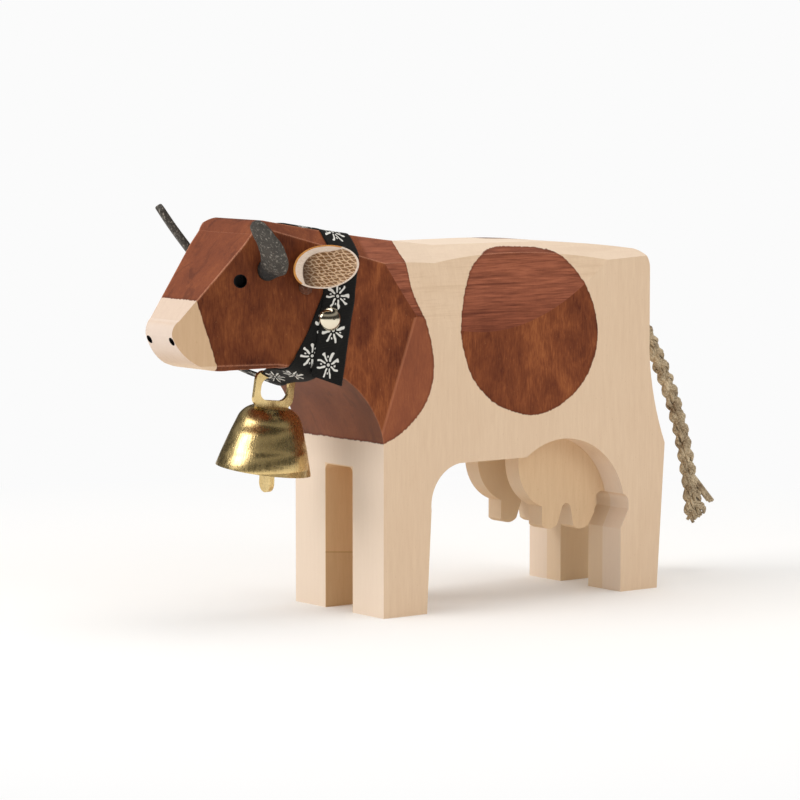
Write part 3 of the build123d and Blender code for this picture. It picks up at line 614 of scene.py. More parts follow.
# The ears are ovals of tan leather with a raw pale face, pinched and glued into drilled
# holes so that they cup forward, and embossed inside with a net pattern.
ear_length_way = Vector((0.52, 0.85, 0.09)).normalized()
ear_facing = Vector((0.8, -0.6, 0.1))
ear_facing = (ear_facing - ear_length_way * ear_facing.dot(ear_length_way)).normalized()
ear_up_way = ear_facing.cross(ear_length_way)
ear_centre = Vector((20.2, -38.9, 93.9))
ear_half_length = 8.4
ear_half_width = 5.6
ear_thickness = 1.5
dish_radius = 12.0
dish_depth = 3.43

tan_leather, tree, shader = finish_material("tan_leather")
grain = placed_group(tree, leather_grain, 2600)
ear_place = put(tree, "Attribute", attribute_name="ear_place").outputs["Vector"]
ear_parts = put(tree, "SeparateXYZ", {0: ear_place}).outputs
skewed = calc(tree, "MULTIPLY_ADD", ear_parts[0], 0.68, calc(tree, "MULTIPLY", ear_parts[1], 0.58))
stretched = put(tree, "CombineXYZ", {0: skewed, 1: calc(tree, "MULTIPLY", ear_parts[1], 1.16)}).outputs[0]
wobble = put(tree, "TexNoise", {"Vector": ear_place, "Scale": 0.7, "Detail": 2}).outputs["Color"]
bend = {0: wobble, 1: (0.9, 0.9, 0.0), 2: stretched}
bent = put(tree, "VectorMath", bend, operation="MULTIPLY_ADD").outputs[0]
net_inputs = {"Vector": bent, "Scale": 1.0, "Randomness": 0.42}
net = put(tree, "TexVoronoi", net_inputs, feature="DISTANCE_TO_EDGE").outputs["Distance"]
net_line = without(tree, smooth_step(tree, net, 0.06, 0.17))
hatch = stretched_noise(tree, ear_place, (0.7, 3.0, 1.0), 1.6, 3, 0.7)
cell = blend_colour(tree, hatch, srgb(98, 64, 36), srgb(156, 112, 70))
pattern = tint(tree, cell, net_line, srgb(228, 196, 160), 0.85)
# The net is painted dark on the side by the stem: a painted shadow of the curled lip in the dish.
painted_lip_shadow = without(tree, smooth_step(tree, ear_parts[0], -6.4, -1.0))
pattern = tint(tree, pattern, painted_lip_shadow, srgb(62, 38, 24), 0.85)
suede = blend_colour(tree, hatch, srgb(214, 188, 168), srgb(243, 229, 214))
cut_edge = blend_colour(tree, grain.outputs["Patches"], srgb(188, 118, 42), srgb(226, 160, 80))
back_tone = blend_colour(tree, grain.outputs["Patches"], srgb(150, 98, 52), srgb(190, 136, 82))

# The third number of a place on the ear says what is there: 0 the net, 1 the raw lip,
# 2 the cut edge, 3 the back and 4 the stem.
region = ear_parts[2]
tone = tint(tree, pattern, smooth_step(tree, region, 0.35, 0.65), suede)
tone = tint(tree, tone, calc(tree, "GREATER_THAN", region, 1.5), cut_edge)
tone = tint(tree, tone, calc(tree, "GREATER_THAN", region, 2.5), back_tone)
# The leather stem is painted a dark reddish brown like the shaded wood round its hole: painted shade.
tone = tint(tree, tone, calc(tree, "GREATER_THAN", region, 3.5), srgb(98, 54, 30))
tone = tint(tree, tone, grain.outputs["Specks"], srgb(240, 226, 205), 0.15)
height = calc(tree, "MULTIPLY_ADD", net_line, 0.6, calc(tree, "MULTIPLY", grain.outputs["Pores"], 0.5))
bump = put(tree, "Bump", {"Strength": 0.7, "Distance": 0.0002, "Height": height})
set_inputs(tree, shader, Base_Color=tone, Roughness=0.75, Normal=bump.outputs[0])


def ear_reach(angle):
    """The oval's radius at an angle, with a corner by the stem, and uneven as cut leather is."""
    oval = 1 / math.hypot(math.cos(angle) / ear_half_length, math.sin(angle) / ear_half_width)
    corner = math.exp(-((angle - math.radians(204)) / math.radians(26)) ** 2)
    return oval * (1 + 0.012 * math.sin(3 * angle + 0.6)) + 0.85 * corner


def ear_depth(radius):
    """The height of the dish's back, which is lowest in the middle."""
    return dish_radius - dish_depth - math.sqrt(max(1.0, dish_radius ** 2 - radius ** 2))


def leather_ear(name, mirror_side):
    """The dished oval, thickest and curled inwards along its upper rim."""
    sectors = 96
    face_rings = (1.0, 0.98, 0.945, 0.92, 0.89, 0.86, 0.83, 0.80, 0.77, 0.745, 0.72, 0.70, 0.68, 0.66,
                  0.62, 0.56, 0.46, 0.34, 0.22, 0.1)
    back_rings = (0.1, 0.3, 0.5, 0.7, 0.85, 0.95, 0.99)
    vertices, places, faces = [], [], []

    def add(ring, angle, height, region):
        reach = ear_reach(angle) * ring
        local_x, local_y = reach * math.cos(angle), reach * math.sin(angle)
        point = ear_centre + ear_length_way * local_x + ear_up_way * local_y + ear_facing * height
        if mirror_side:
            point = Vector((-point.x, point.y, point.z))
        vertices.append(point * MM)
        places.append((local_x, local_y, region))

    for ring in face_rings:
        for k in range(sectors):
            angle = 2 * math.pi * k / sectors
            curl = soft_share(math.cos(angle - math.radians(128)), -0.30, 0.62)
            lip_start = 0.98 - 0.29 * curl
            on_lip = soft_share(ring, lip_start - 0.03, lip_start + 0.04)
            back = ear_depth(ear_reach(angle) * ring)
            lip_height = back + ear_thickness + 0.35 * curl * soft_share(ring, 0.80, 1.0)
            curled_height = (back + 0.35) * (1 - on_lip) + lip_height * on_lip
            height = curled_height * curl + (back + 0.9) * (1 - curl)
            if ring == 1.0:
                height -= 0.25
            at_rim = 0.8 if ring > 0.94 else 0.0
            add(ring, angle, height, on_lip * min(1.0, curl * 1.5) + at_rim)
    first_back = len(face_rings)
    for index, ring in enumerate(reversed(back_rings)):
        for k in range(sectors):
            angle = 2 * math.pi * k / sectors
            back = ear_depth(ear_reach(angle) * ring)
            if index == 0:
                add(ring, angle, back + 0.12, 2.0)
            else:
                add(ring, angle, back, 3.0)
    for row in range(len(face_rings) + len(back_rings) - 1):
        if row == first_back - 1:
            continue
        for k in range(sectors):
            a, b = row * sectors + k, row * sectors + (k + 1) % sectors
            faces.append((a, b, b + sectors, a + sectors))
    for k in range(sectors):
        a, b = k, (k + 1) % sectors
        c, d = first_back * sectors + (k + 1) % sectors, first_back * sectors + k
        faces.append((a, d, c, b))
    faces.append(tuple(range((first_back - 1) * sectors, first_back * sectors)))
    last = first_back + len(back_rings) - 1
    faces.append(tuple(range(last * sectors, (last + 1) * sectors)))
    if mirror_side:
        faces = [face[::-1] for face in faces]
    ear = mesh_object(name, vertices, faces, tan_leather)
    attribute = ear.data.attributes.new("ear_place", "FLOAT_VECTOR", "POINT")
    for index, place in enumerate(places):
        attribute.data[index].vector = place
    clean = bmesh.new()
    clean.from_mesh(ear.data)
    bmesh.ops.recalc_face_normals(clean, faces=clean.faces)
    clean.to_mesh(ear.data)
    clean.free()
    return ear


def tube(centres, radii, sides, up=Vector((1, 0, 0)), flat=1.0):
    """Points and faces of a closed tube round a line, flattened along the up direction if wanted."""
    vertices, faces = [], []
    count = len(centres)
    for i, centre in enumerate(centres):
        run = (centres[min(i + 1, count - 1)] - centres[max(i - 1, 0)]).normalized()
        side = run.cross(up).normalized()
        top = side.cross(run).normalized()
        for k in range(sides):
            angle = 2 * math.pi * k / sides
            arm = side * math.cos(angle) + top * math.sin(angle) * flat
            vertices.append(centre + arm * radii[i])
    for i in range(count - 1):
        for k in range(sides):
            a, b = i * sides + k, i * sides + (k + 1) % sides
            faces.append((a, b, b + sides, a + sides))
    faces.append(tuple(range(sides))[::-1])
    faces.append(tuple(range((count - 1) * sides, count * sides)))
    return vertices, faces


def ear_stem(name, mirror_side):
    """The pinched root of the ear, from the hole in the head to the dish."""
    line = [(10.8, -41.3, 88.3), (14.2, -41.8, 88.4), (15.3, -41.9, 88.5), (16.0, -41.7, 89.0)]
    steps = 14
    radii = [value_along((1.6, 1.85, 2.1, 0.9), i / steps) for i in range(steps + 1)]
    vertices, faces = tube(curve_through(line, steps), radii, 20, Vector((0.6, -0.7, 0.1)), 0.96)
    if mirror_side:
        vertices = [Vector((-v.x, v.y, v.z)) for v in vertices]
        faces = [face[::-1] for face in faces]
    stem = mesh_object(name, [v * MM for v in vertices], faces, tan_leather)
    attribute = stem.data.attributes.new("ear_place", "FLOAT_VECTOR", "POINT")
    for index, vertex in enumerate(vertices):
        attribute.data[index].vector = (vertex.y, vertex.z, 4.0)
    return stem


for ear_side, mirror_side in (("left", False), ("right", True)):
    ear = leather_ear(ear_side + "_leather_ear", mirror_side)
    stem = ear_stem(ear_side + "_ear_stem", mirror_side)
    for piece in (ear, stem):
        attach(piece, "cow")
    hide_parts(ear_side + "_ear")


# The collar is one woven ribbon, black with pale alpine flowers. It lies over the neck,
# comes down both sides, and passes under the jaw through the bell's hanger.
ribbon_width = 9.3
ribbon_thickness = 0.34
ribbon_columns = 19
flower_pitch = 9.0
first_flower = 4.0
cow_surface = BVHTree.FromPolygons([v.co / MM for v in nodes["cow_body"].data.vertices],
                                   [tuple(p.vertices) for p in nodes["cow_body"].data.polygons])


def onto_cow(point, outward, gap):
    """The point moved along a direction until it lies a gap outside the carved cow."""
    start_above, reach = 15, 40
    outward = outward.normalized()
    hit = cow_surface.ray_cast(point + outward * start_above, -outward, reach)[0]
    return point if hit is None else hit + outward * gap


# Each station has its middle, the directions of its width and of its outer face, the share
# of the width that it keeps in its folds, and 1 where it lies on the cow. The ribbon starts
# on the left side, goes over the neck and under the jaw, and comes up under its own start.
left_facet = Vector((0.989, -0.14, 0.051))
left_facet_point = Vector((20.0, -9.8, 79.4))
collar_stations = [
    ((17.0, -36.9, 64.1), (0, 0.989, -0.148), left_facet, 1, 1),
    ((17.0, -36.0, 68.3), (0, 0.989, -0.148), left_facet, 1, 1),
    ((17.0, -34.2, 77.0), (0, 0.989, -0.148), left_facet, 1, 1),
    ((17.0, -32.0, 89.0), (0, 0.989, -0.148), left_facet, 1, 1),
    ((16.6, -30.9, 95.6), (0, 0.989, -0.16), (0.98, -0.10, 0.17), 1, 1),
    ((14.5, -30.4, 98.6), (-0.03, 0.985, -0.17), (0.72, 0.0, 0.69), 1, 1),
    ((11.0, -30.4, 100.4), (-0.05, 0.98, -0.2), (0.36, 0.1, 0.93), 1, 1),
    ((5.0, -30.8, 102.0), (-0.06, 0.98, -0.22), (0.12, 0.16, 0.98), 1, 1),
    ((-2.0, -31.4, 102.3), (-0.06, 0.98, -0.22), (-0.06, 0.16, 0.98), 1, 1),
    ((-9.0, -32.2, 101.6), (0.0, 0.97, -0.24), (-0.3, 0.1, 0.95), 1, 1),
    ((-13.6, -33.0, 99.2), (0.05, 0.96, -0.28), (-0.72, 0.0, 0.69), 1, 1),
    ((-16.2, -34.0, 95.6), (0, 0.94, -0.34), (-0.98, -0.10, 0.17), 1, 1),
    ((-16.4, -35.8, 89.0), (0, 0.94, -0.342), (-0.989, -0.14, 0.051), 1, 1),
    ((-16.4, -39.6, 78.0), (0, 0.94, -0.342), (-0.989, -0.14, 0.051), 1, 1),
    ((-16.2, -42.6, 70.0), (0, 0.93, -0.36), (-0.989, -0.14, 0.051), 1, 1),
    ((-16.0, -43.4, 67.2), (0, 0.93, -0.36), (-0.97, -0.12, -0.2), 0.98, 0),
    ((-14.6, -43.6, 65.2), (0, 0.93, -0.36), (-0.7, -0.1, -0.7), 0.94, 0),
    ((-10.5, -42.8, 64.6), (0, 0.90, -0.42), (-0.3, -0.2, -0.93), 0.84, 0),
    ((-4.5, -41.6, 63.4), (0, 0.86, -0.50), (-0.06, -0.45, -0.89), 0.68, 0),
    ((-0.6, -41.6, 62.9), (0, 0.90, -0.44), (0.0, -0.45, -0.89), 0.70, 0),
    ((2.2, -42.6, 64.0), (0, 0.90, -0.44), (0.2, -0.50, -0.84), 0.90, 0),
    ((6.0, -42.9, 64.9), (0, 0.89, -0.46), (0.3, -0.40, -0.86), 0.92, 0),
    ((11.0, -43.0, 65.2), (0, 0.90, -0.42), (0.3, -0.2, -0.93), 0.90, 0),
    ((14.8, -43.4, 66.0), (0, 0.93, -0.36), (0.7, -0.1, -0.7), 0.96, 0),
    ((16.1, -42.6, 67.2), (0, 0.91, -0.42), (0.97, -0.12, -0.2), 0.98, 0),
    ((16.5, -41.0, 69.5), (0, 0.894, -0.447), left_facet, 1, 1),
    ((16.9, -38.0, 74.2), (0, 0.894, -0.447), left_facet, 1, 1),
    ((17.0, -35.2, 79.9), (0, 0.894, -0.447), left_facet, 1, 1),
    ((17.0, -32.6, 85.2), (0, 0.894, -0.447), left_facet, 1, 1),
]


def ribbon_rows(stations, spacing):
    """Stations filled in smoothly at an even spacing."""
    columns = list(zip(*stations))
    count = 12 * (len(stations) - 1)
    middles = curve_through(columns[0], count)
    widths = curve_through(columns[1], count)
    outwards = curve_through(columns[2], count)
    others = curve_through([(a, b, 0) for a, b in zip(columns[3], columns[4])], count)
    distances = walk(middles)
    rows = []
    steps = int(distances[-1] / spacing)
    for step in range(steps + 1):
        distance = distances[-1] * step / steps
        index = 1
        while index < count and distances[index] < distance:
            index += 1
        span = distances[index] - distances[index - 1]
        t = (distance - distances[index - 1]) / span
        row = [line[index - 1].lerp(line[index], t) for line in (middles, widths, outwards, others)]
        rows.append((distance, row[0], row[1].normalized(), row[2].normalized(), row[3].x, row[3].y))
    return rows


ribbon_stations = ribbon_rows(collar_stations, 0.3)
ribbon_shares = [2 * column / (ribbon_columns - 1) - 1 for column in range(ribbon_columns)]
far_end_top = 86.5
far_end_place = (-41.5, 67.0)
far_end_run = Vector((0.5, 1.0)).normalized()


def over_far_end(point):
    """1 where a point of the left side lies over the ribbon's far end, which is tucked under it."""
    if point.x < 12 or point.z > far_end_top:
        return 0.0
    from_line = (point.y - far_end_place[0]) * far_end_run.y - (point.z - far_end_place[1]) * far_end_run.x
    covered = soft_share(ribbon_width / 2 - abs(from_line), -0.7, 0.3)
    covered *= 1 - soft_share(point.z, far_end_top - 1.1, far_end_top)
    return covered * soft_share(point.z, 63.0, 66.0)


def ribbon_point(distance, point, outward, resting):
    """A point of the ribbon laid on the cow, as far as it rests there."""
    clearance, layer_gap = 0.12, 0.08
    first_side_length, cut_end_length, jaw_edge = 60, 12, 70
    bulge_from, bulge_to = -10, 3
    gap = clearance + ribbon_thickness / 2
    if distance < first_side_length:
        gap += (ribbon_thickness + layer_gap) * over_far_end(point)
    if bulge_from < point.x < bulge_to:
        gap += 0.8 * math.sin(math.pi * (point.x - bulge_from) / (bulge_to - bulge_from))
    landed = onto_cow(point, outward, gap)
    # The cut end reaches down past the jaw's edge, so it keeps to the plane of the side's facet.
    if distance < cut_end_length and point.z < jaw_edge:
        past = left_facet.z * (point.z - left_facet_point.z) + left_facet.y * (point.y - left_facet_point.y)
        landed = Vector((left_facet_point.x - past / left_facet.x + gap, point.y, point.z))
    return point.lerp(landed, soft_share(resting, 0.5, 0.9))


grid = []
for distance, middle, across, outward, width_share, resting in ribbon_stations:
    line = [middle + across * share * width_share * ribbon_width / 2 for share in ribbon_shares]
    if resting > 0.55:
        line = [ribbon_point(distance, point, outward, resting) for point in line]
    grid.append(line)

# The cloth evens out the facets' edges, its first end is cut at a slant, and the threads
# of its weave leave the two long edges finely notched.
smoothing_rounds = 10
for _ in range(smoothing_rounds):
    copy = [[p.copy() for p in line] for line in grid]
    for i in range(1, len(grid) - 1):
        for j in range(ribbon_columns):
            grid[i][j] = (copy[i - 1][j] + copy[i][j] * 2 + copy[i + 1][j]) / 4
slant_rows = 22
edge_notch = 0.07
along_start = Vector((0, 0.148, 0.989))
for i, line in enumerate(grid):
    trim = max(0.0, 1 - i / slant_rows)
    for j, share in enumerate(ribbon_shares):
        line[j] = line[j] + along_start * (-share * 0.9 - 0.3) * trim
    notch = edge_notch if i % 2 else -edge_notch
    line[0] = line[0] + (line[0] - line[1]).normalized() * notch
    line[-1] = line[-1] + (line[-1] - line[-2]).normalized() * notch

ribbon_material, tree, shader = finish_material("woven_ribbon")
weave_place = put(tree, "Attribute", attribute_name="weave_place").outputs["Vector"]
weave_parts = put(tree, "SeparateXYZ", {0: weave_place}).outputs
along, over = weave_parts[0], weave_parts[1]

# One flower stands in each repeat, turned a little by chance, and drawn a little unevenly.
repeat = calc(tree, "DIVIDE", along, flower_pitch)
flower_number = calc(tree, "FLOOR", repeat)
chance = put(tree, "TexWhiteNoise", {"W": flower_number}, noise_dimensions="1D").outputs["Value"]
flower_u = calc(tree, "MULTIPLY", calc(tree, "SUBTRACT", calc(tree, "FRACT", repeat), 0.5), flower_pitch)
flower_v = calc(tree, "ADD", over, 0.45)
ripple = put(tree, "TexNoise", {"Vector": weave_place, "Scale": 0.45, "Detail": 1}).outputs["Fac"]
spin = calc(tree, "MULTIPLY", calc(tree, "SUBTRACT", chance, 0.5), 0.5)
angle = calc(tree, "ADD", calc(tree, "ARCTAN2", flower_v, flower_u), spin)
angle = calc(tree, "ADD", angle, calc(tree, "MULTIPLY", calc(tree, "SUBTRACT", ripple, 0.5), 0.6))
square = calc(tree, "MULTIPLY_ADD", flower_u, flower_u, calc(tree, "MULTIPLY", flower_v, flower_v))
reach = calc(tree, "SQRT", square)


def petals(tree, angle, reach, count, turned, near, far, half_width):
    """A ring of long petals that widen outwards, as a mask."""
    sector = 2 * math.pi / count
    keep_positive = 20.5
    place = calc(tree, "ADD", calc(tree, "DIVIDE", angle, sector), keep_positive + turned)
    off = calc(tree, "MULTIPLY", calc(tree, "SUBTRACT", calc(tree, "FRACT", place), 0.5), sector)
    sideways = calc(tree, "ABSOLUTE", calc(tree, "MULTIPLY", calc(tree, "SINE", off), reach))
    outwards = calc(tree, "MULTIPLY", calc(tree, "COSINE", off), reach)
    beyond_end = calc(tree, "MAXIMUM", calc(tree, "SUBTRACT", outwards, far - half_width), 0.0)
    before_start = calc(tree, "MAXIMUM", calc(tree, "SUBTRACT", near + half_width, outwards), 0.0)
    ends = calc(tree, "ADD", beyond_end, before_start)
    apart = calc(tree, "MULTIPLY_ADD", sideways, sideways, calc(tree, "MULTIPLY", ends, ends))
    apart = calc(tree, "SQRT", apart)
    wide = calc(tree, "MULTIPLY_ADD", calc(tree, "SUBTRACT", outwards, near), 0.055, half_width - 0.09)
    return without(tree, smooth_step(tree, calc(tree, "SUBTRACT", apart, wide), -0.05, 0.05))


flower = petals(tree, angle, reach, 8, 0.5, 0.80, 3.40, 0.30)
stamens = petals(tree, angle, reach, 4, 0.0, 1.75, 2.45, 0.26)
from_heart = calc(tree, "ABSOLUTE", calc(tree, "SUBTRACT", reach, 0.25))
heart = without(tree, smooth_step(tree, from_heart, 0.10, 0.2))
flower = calc(tree, "MAXIMUM", flower, calc(tree, "MAXIMUM", stamens, heart))

# The ground is a fine ribbed weave of black thread, and the flowers are raised a little.
rib_pitch = 0.42
warp_pitch = 0.30
rib = calc(tree, "SINE", calc(tree, "MULTIPLY", along, 2 * math.pi / rib_pitch))
warp = calc(tree, "SINE", calc(tree, "MULTIPLY", over, 2 * math.pi / warp_pitch))
thread = calc(tree, "MULTIPLY_ADD", rib, 0.30, calc(tree, "MULTIPLY_ADD", warp, 0.12, 0.5))
thread_noise = put(tree, "TexNoise", {"Vector": weave_place, "Scale": 4.0, "Detail": 3}).outputs["Fac"]
black = blend_colour(tree, calc(tree, "MULTIPLY", thread, thread_noise), srgb(4, 4, 4), srgb(36, 35, 31))
white = blend_colour(tree, thread_noise, srgb(196, 194, 186), srgb(250, 249, 243))
tone = blend_colour(tree, flower, black, white)
height = calc(tree, "MULTIPLY_ADD", flower, 0.8, thread)
bump = put(tree, "Bump", {"Strength": 0.6, "Distance": 0.00012, "Height": height})
set_inputs(tree, shader, Base_Color=tone, Roughness=0.8, Normal=bump.outputs[0], Sheen_Weight=0.04)
shader.inputs["Specular IOR Level"].default_value = 0.25

ribbon_vertices = [point * MM for line in grid for point in line]
ribbon_faces = []
for i in range(len(grid) - 1):
    for j in range(ribbon_columns - 1):
        a = i * ribbon_columns + j
        ribbon_faces.append((a, a + ribbon_columns, a + ribbon_columns + 1, a + 1))
ribbon = mesh_object("woven_collar", ribbon_vertices, ribbon_faces, ribbon_material)
attribute = ribbon.data.attributes.new("weave_place", "FLOAT_VECTOR", "POINT")
pattern_start = flower_pitch * 10.5 - first_flower
for i, station in enumerate(ribbon_stations):
    for j, share in enumerate(ribbon_shares):
        place = (station[0] + pattern_start, share * ribbon_width / 2, 0)
        attribute.data[i * ribbon_columns + j].vector = place
thicken = ribbon.modifiers.new("ribbon_thickness", "SOLIDIFY")
thicken.thickness = ribbon_thickness * MM
thicken.offset = 0
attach(ribbon, "cow")
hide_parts("collar_ribbon")


# The tack and the bell are plain metal: a polished nickel dome, and a spun brass cup
# with a stamped brass hanger and a tongue, all satin from turning.
def metal_haze_group():
    """The fine uneven haze of handled metal, shared by the tack and the bell."""
    group = bpy.data.node_groups.new("metal_haze", "ShaderNodeTree")
    group.interface.new_socket("Place", in_out="INPUT", socket_type="NodeSocketVector")
    group.interface.new_socket("Scale", in_out="INPUT", socket_type="NodeSocketFloat")
    group.interface.new_socket("Haze", in_out="OUTPUT", socket_type="NodeSocketFloat")
    source = group.nodes.new("NodeGroupInput").outputs
    haze = put(group, "TexNoise", {"Vector": source[0], "Scale": source[1], "Detail": 3})
    group.links.new(haze.outputs["Fac"], group.nodes.new("NodeGroupOutput").inputs[0])
    return group


metal_haze = metal_haze_group()

nickel, tree, shader = finish_material("polished_nickel")
haze = placed_group(tree, metal_haze, 700).outputs["Haze"]
set_inputs(tree, shader, Base_Color=srgb(228, 218, 196), Metallic=1.0,
           Roughness=calc(tree, "MULTIPLY_ADD", haze, 0.10, 0.06))
nodes["collar_tack"].data.materials.clear()
nodes["collar_tack"].data.materials.append(nickel)

brass, tree, shader = finish_material("turned_brass")
place = put(tree, "TexCoord").outputs["Object"]
parts = put(tree, "SeparateXYZ", {0: place}).outputs

# The cup's axis leans a little, and the marks of turning run round it.
cup_top = (-0.0007, -0.04177, 0.05586)
cup_height = 0.01655
cup_lean = (0.0910, 0.1020)
axis_x = calc(tree, "MULTIPLY_ADD", parts[2], cup_lean[0], cup_top[0] - cup_top[2] * cup_lean[0])
axis_y = calc(tree, "MULTIPLY_ADD", parts[2], cup_lean[1], cup_top[1] - cup_top[2] * cup_lean[1])
from_axis_x = calc(tree, "SUBTRACT", parts[0], axis_x)
from_axis_y = calc(tree, "SUBTRACT", parts[1], axis_y)
turn = calc(tree, "ARCTAN2", from_axis_x, from_axis_y)
turn_place = put(tree, "CombineXYZ", {0: turn, 1: calc(tree, "MULTIPLY", parts[2], 18.0)}).outputs[0]
streak_inputs = {"Vector": turn_place, "Scale": 9, "Detail": 4, "Roughness": 0.7}
streak = put(tree, "TexNoise", streak_inputs).outputs["Fac"]
haze = placed_group(tree, metal_haze, 900).outputs["Haze"]
tarnish = put(tree, "TexNoise", {"Vector": place, "Scale": 120, "Detail": 3}).outputs["Fac"]
tone = blend_colour(tree, tarnish, srgb(200, 170, 112), srgb(240, 216, 158))
rough = calc(tree, "MULTIPLY_ADD", streak, 0.20, calc(tree, "MULTIPLY_ADD", haze, 0.14, 0.10))

# The cup's wall swells and draws in slightly on its way down to the lip.
below_crown = calc(tree, "MULTIPLY_ADD", parts[2], -1 / cup_height, cup_top[2] / cup_height)
belly = put(tree, "FloatCurve", {"Value": below_crown})
belly_points = belly.mapping.curves[0].points
for share_down, swelling in ((0.20, 0.02), (0.45, 0.62), (0.62, 0.60), (0.80, 0.94), (0.90, 0.84)):
    belly_points.new(share_down, swelling)
belly_points[len(belly_points) - 1].location = (1.0, 0.16)
belly.mapping.update()
upright = {0: put(tree, "NewGeometry").outputs["Normal"], 1: (0.0, 0.1, 1.0)}
outer_side = put(tree, "VectorMath", upright, operation="DOT_PRODUCT").outputs["Value"]
on_cup = both(tree, calc(tree, "GREATER_THAN", outer_side, 0.0), smooth_step(tree, below_crown, 0.02, 0.2))
formed = put(tree, "Bump", {"Strength": on_cup, "Distance": 0.001, "Height": belly.outputs[0]})
height = calc(tree, "MULTIPLY_ADD", streak, 0.8, calc(tree, "MULTIPLY", haze, 0.2))
turned = {"Strength": 0.5, "Distance": 0.00025, "Height": height, "Normal": formed.outputs[0]}
bump = put(tree, "Bump", turned)
set_inputs(tree, shader, Base_Color=tone, Metallic=1.0, Roughness=rough, Normal=bump.outputs[0])
brass_edges = (("bell_shell", 0.16), ("bell_bail", 0.22), ("clapper", 0.25), ("clapper_hook", 0.08))
for brass_name, edge_width in brass_edges:
    piece = nodes[brass_name]
    piece.data.materials.clear()
    piece.data.materials.append(brass)
    edge = piece.modifiers.new("broken_edges", "BEVEL")
    edge.width = edge_width * MM
    edge.segments = 2
    edge.limit_method = "ANGLE"
    edge.angle_limit = math.radians(35)
    edge.use_clamp_overlap = True


# The tail is a plait of three loose strands of natural fibre cord, glued into a
# drilled hole in the rump, and it ends in a cut and frayed end.
tail_route = [
    (65.7, 78.0),
    (74.2, 78.0),
    (82.0, 75.4),
    (87.7, 69.6),
    (91.9, 62.4),
    (95.7, 54.9),
    (99.1, 47.0),
    (101.8, 38.8),
    (103.6, 30.3),
    (105.3, 22.6),
    (107.2, 15.6),
]
tail_curve = bpy.data.curves.new("tail_route", "CURVE")
tail_curve.dimensions = "3D"
tail_spline = tail_curve.splines.new("NURBS")
tail_spline.points.add(len(tail_route) - 1)
for point, (y, z) in zip(tail_spline.points, tail_route):
    point.co = (0, y * MM, z * MM, 1)
tail_spline.order_u = 3
tail_spline.use_endpoint_u = True
tail_spline.resolution_u = 24
tail_line_object = bpy.data.objects.new("tail_route", tail_curve)
bpy.context.collection.objects.link(tail_line_object)
tail_line_mesh = bpy.data.meshes.new_from_object(tail_line_object)
tail_line = [v.co.copy() for v in tail_line_mesh.vertices]
bpy.data.objects.remove(tail_line_object)
bpy.data.meshes.remove(tail_line_mesh)


def place_on(line, distances, distance):
    """The point and direction at a distance along a line."""
    distance = max(0.0, min(distances[-1], distance))
    index = 1
    while index < len(line) - 1 and distances[index] < distance:
        index += 1
    span = distances[index] - distances[index - 1]
    share = (distance - distances[index - 1]) / span if span else 0
    run = (line[index] - line[index - 1]).normalized()
    return line[index - 1].lerp(line[index], share), run


def add_part(vertices, faces, more_vertices, more_faces):
    """Append one tube to a growing mesh."""
    first = len(vertices)
    vertices.extend(more_vertices)
    faces.extend([tuple(first + k for k in face) for face in more_faces])


# The strands cross from side to side and weave in depth at twice that rate. The plait is
# tight at the rump and opens towards its end, where the yarns of each strand come loose.
tail_distances = walk(tail_line)
tail_length = tail_distances[-1]
plait_pitch = 12.0 * MM
plait_width = 1.28 * MM
plait_depth = 0.50 * MM
plait_wander = 0.16 * MM
strands = 3
strand_radius = 1.22 * MM
yarns_per_strand = 6
yarn_radius = 0.5 * MM
yarn_pitch = 9.5 * MM
yarn_sides = 7
tail_steps = 190
to_the_left = Vector((1, 0, 0))


def past_share(distance, start):
    """From 0 at a share of the tail's length to 1 at its end."""
    return max(0.0, distance / tail_length - start) / (1 - start)


def plait_point(distance, strand):
    """Where one strand of the plait runs at a distance along the tail."""
    centre, run = place_on(tail_line, tail_distances, distance)
    across = Vector((0, run.z, -run.y))
    phase = 2 * math.pi * (distance / plait_pitch + strand / strands)
    wander = noise.noise(Vector((distance * 160, strand * 7.3, 2.1))) * plait_wander
    spread = 0.80 + 0.20 * min(1.0, distance / (0.3 * tail_length)) + 0.55 * past_share(distance, 0.80)
    sideways = (math.sin(phase) * plait_width + wander) * spread
    return centre + across * sideways + to_the_left * math.sin(2 * phase) * plait_depth, run


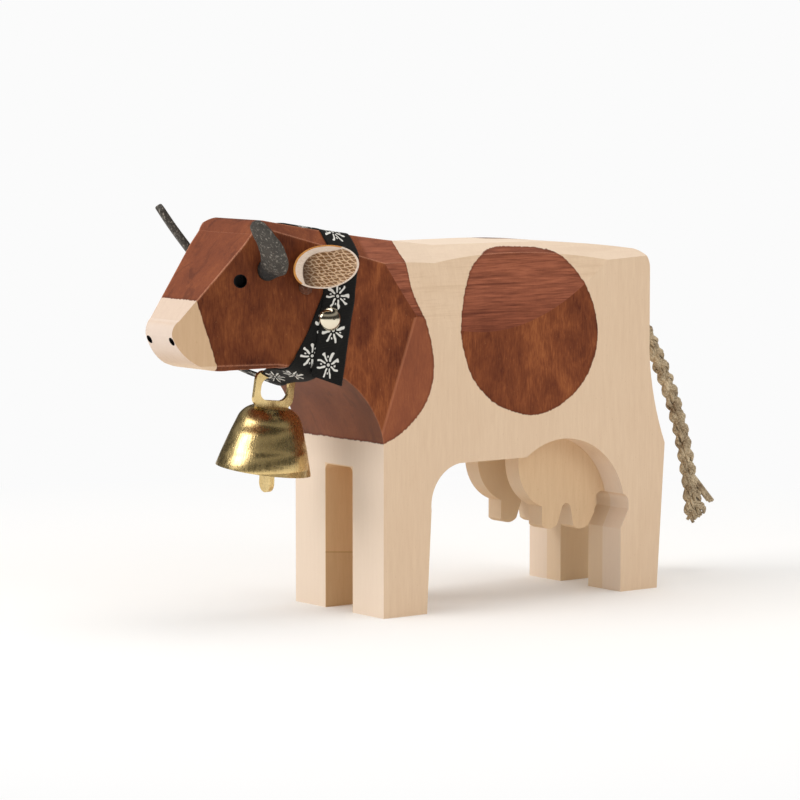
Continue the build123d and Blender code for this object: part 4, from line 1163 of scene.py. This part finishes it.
random.seed(11)
tail_vertices, tail_faces = [], []
for strand in range(strands):
    for yarn in range(yarns_per_strand):
        centres, radii = [], []
        end_cut = random.uniform(-1.6, 0.9) * MM
        start_turn = random.random()
        for step in range(tail_steps + 1):
            distance = tail_length * step / tail_steps
            middle, run = plait_point(distance, strand)
            turn = 2 * math.pi * (yarn / yarns_per_strand + distance / yarn_pitch + start_turn * 0.15)
            arm = (strand_radius - yarn_radius * 0.72) * (1 + 0.7 * past_share(distance, 0.90))
            across = Vector((0, run.z, -run.y))
            centres.append(middle + across * math.cos(turn) * arm
                           + to_the_left * math.sin(turn) * arm * 0.85)
            swell = noise.noise(Vector((distance * 900, strand * 3.1, yarn * 5.7)))
            radii.append(yarn_radius * (1 + 0.10 * swell))
        last = centres[-1] - centres[-2]
        centres[-1] = centres[-1] + last.normalized() * end_cut
        add_part(tail_vertices, tail_faces, *tube(centres, radii, yarn_sides))

strand_material, tree, shader = finish_material("natural_fibre")
where = put(tree, "TexCoord").outputs["Object"]
fibre_inputs = {"Vector": where, "Scale": 2400, "Detail": 3, "Roughness": 0.6}
fibres = put(tree, "TexNoise", fibre_inputs).outputs["Fac"]
patches = put(tree, "TexNoise", {"Vector": where, "Scale": 260, "Detail": 2}).outputs["Fac"]
mixed = calc(tree, "MULTIPLY_ADD", fibres, 0.55, calc(tree, "MULTIPLY", patches, 0.45))
tone = colour_ramp(tree, mixed, (0.36, srgb(116, 94, 68)), (0.62, srgb(214, 196, 164)))
bump = put(tree, "Bump", {"Strength": 0.5, "Distance": 0.0002, "Height": fibres})
set_inputs(tree, shader, Base_Color=tone, Roughness=0.85, Normal=bump.outputs[0])

# One loose tuft of the cord stands away from the plait near its cut end.
tuft_yarns = 5
tuft_steps = 14
tuft_vertices, tuft_faces = [], []
for yarn in range(tuft_yarns):
    turn = 2 * math.pi * yarn / tuft_yarns
    aside = Vector((math.sin(turn) * 0.55, math.cos(turn) * 0.40, math.cos(turn) * 0.44))
    tuft_points = [(0.4, 104.4, 28.0), (0.6, 107.2, 25.0), (0.6, 110.0, 22.0),
                   (0.5, 112.6 - 0.3 * yarn, 19.4 + 0.3 * yarn)]
    tuft_line = [(point + aside) * MM for point in curve_through(tuft_points, tuft_steps)]
    add_part(tuft_vertices, tuft_faces, *tube(tuft_line, [yarn_radius] * (tuft_steps + 1), yarn_sides))
tuft = mesh_object("tail_tuft", tuft_vertices, tuft_faces, strand_material)
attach(tuft, "cow")

tail = mesh_object("plaited_tail", tail_vertices, tail_faces, strand_material)
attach(tail, "cow")
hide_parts("tail_braid")
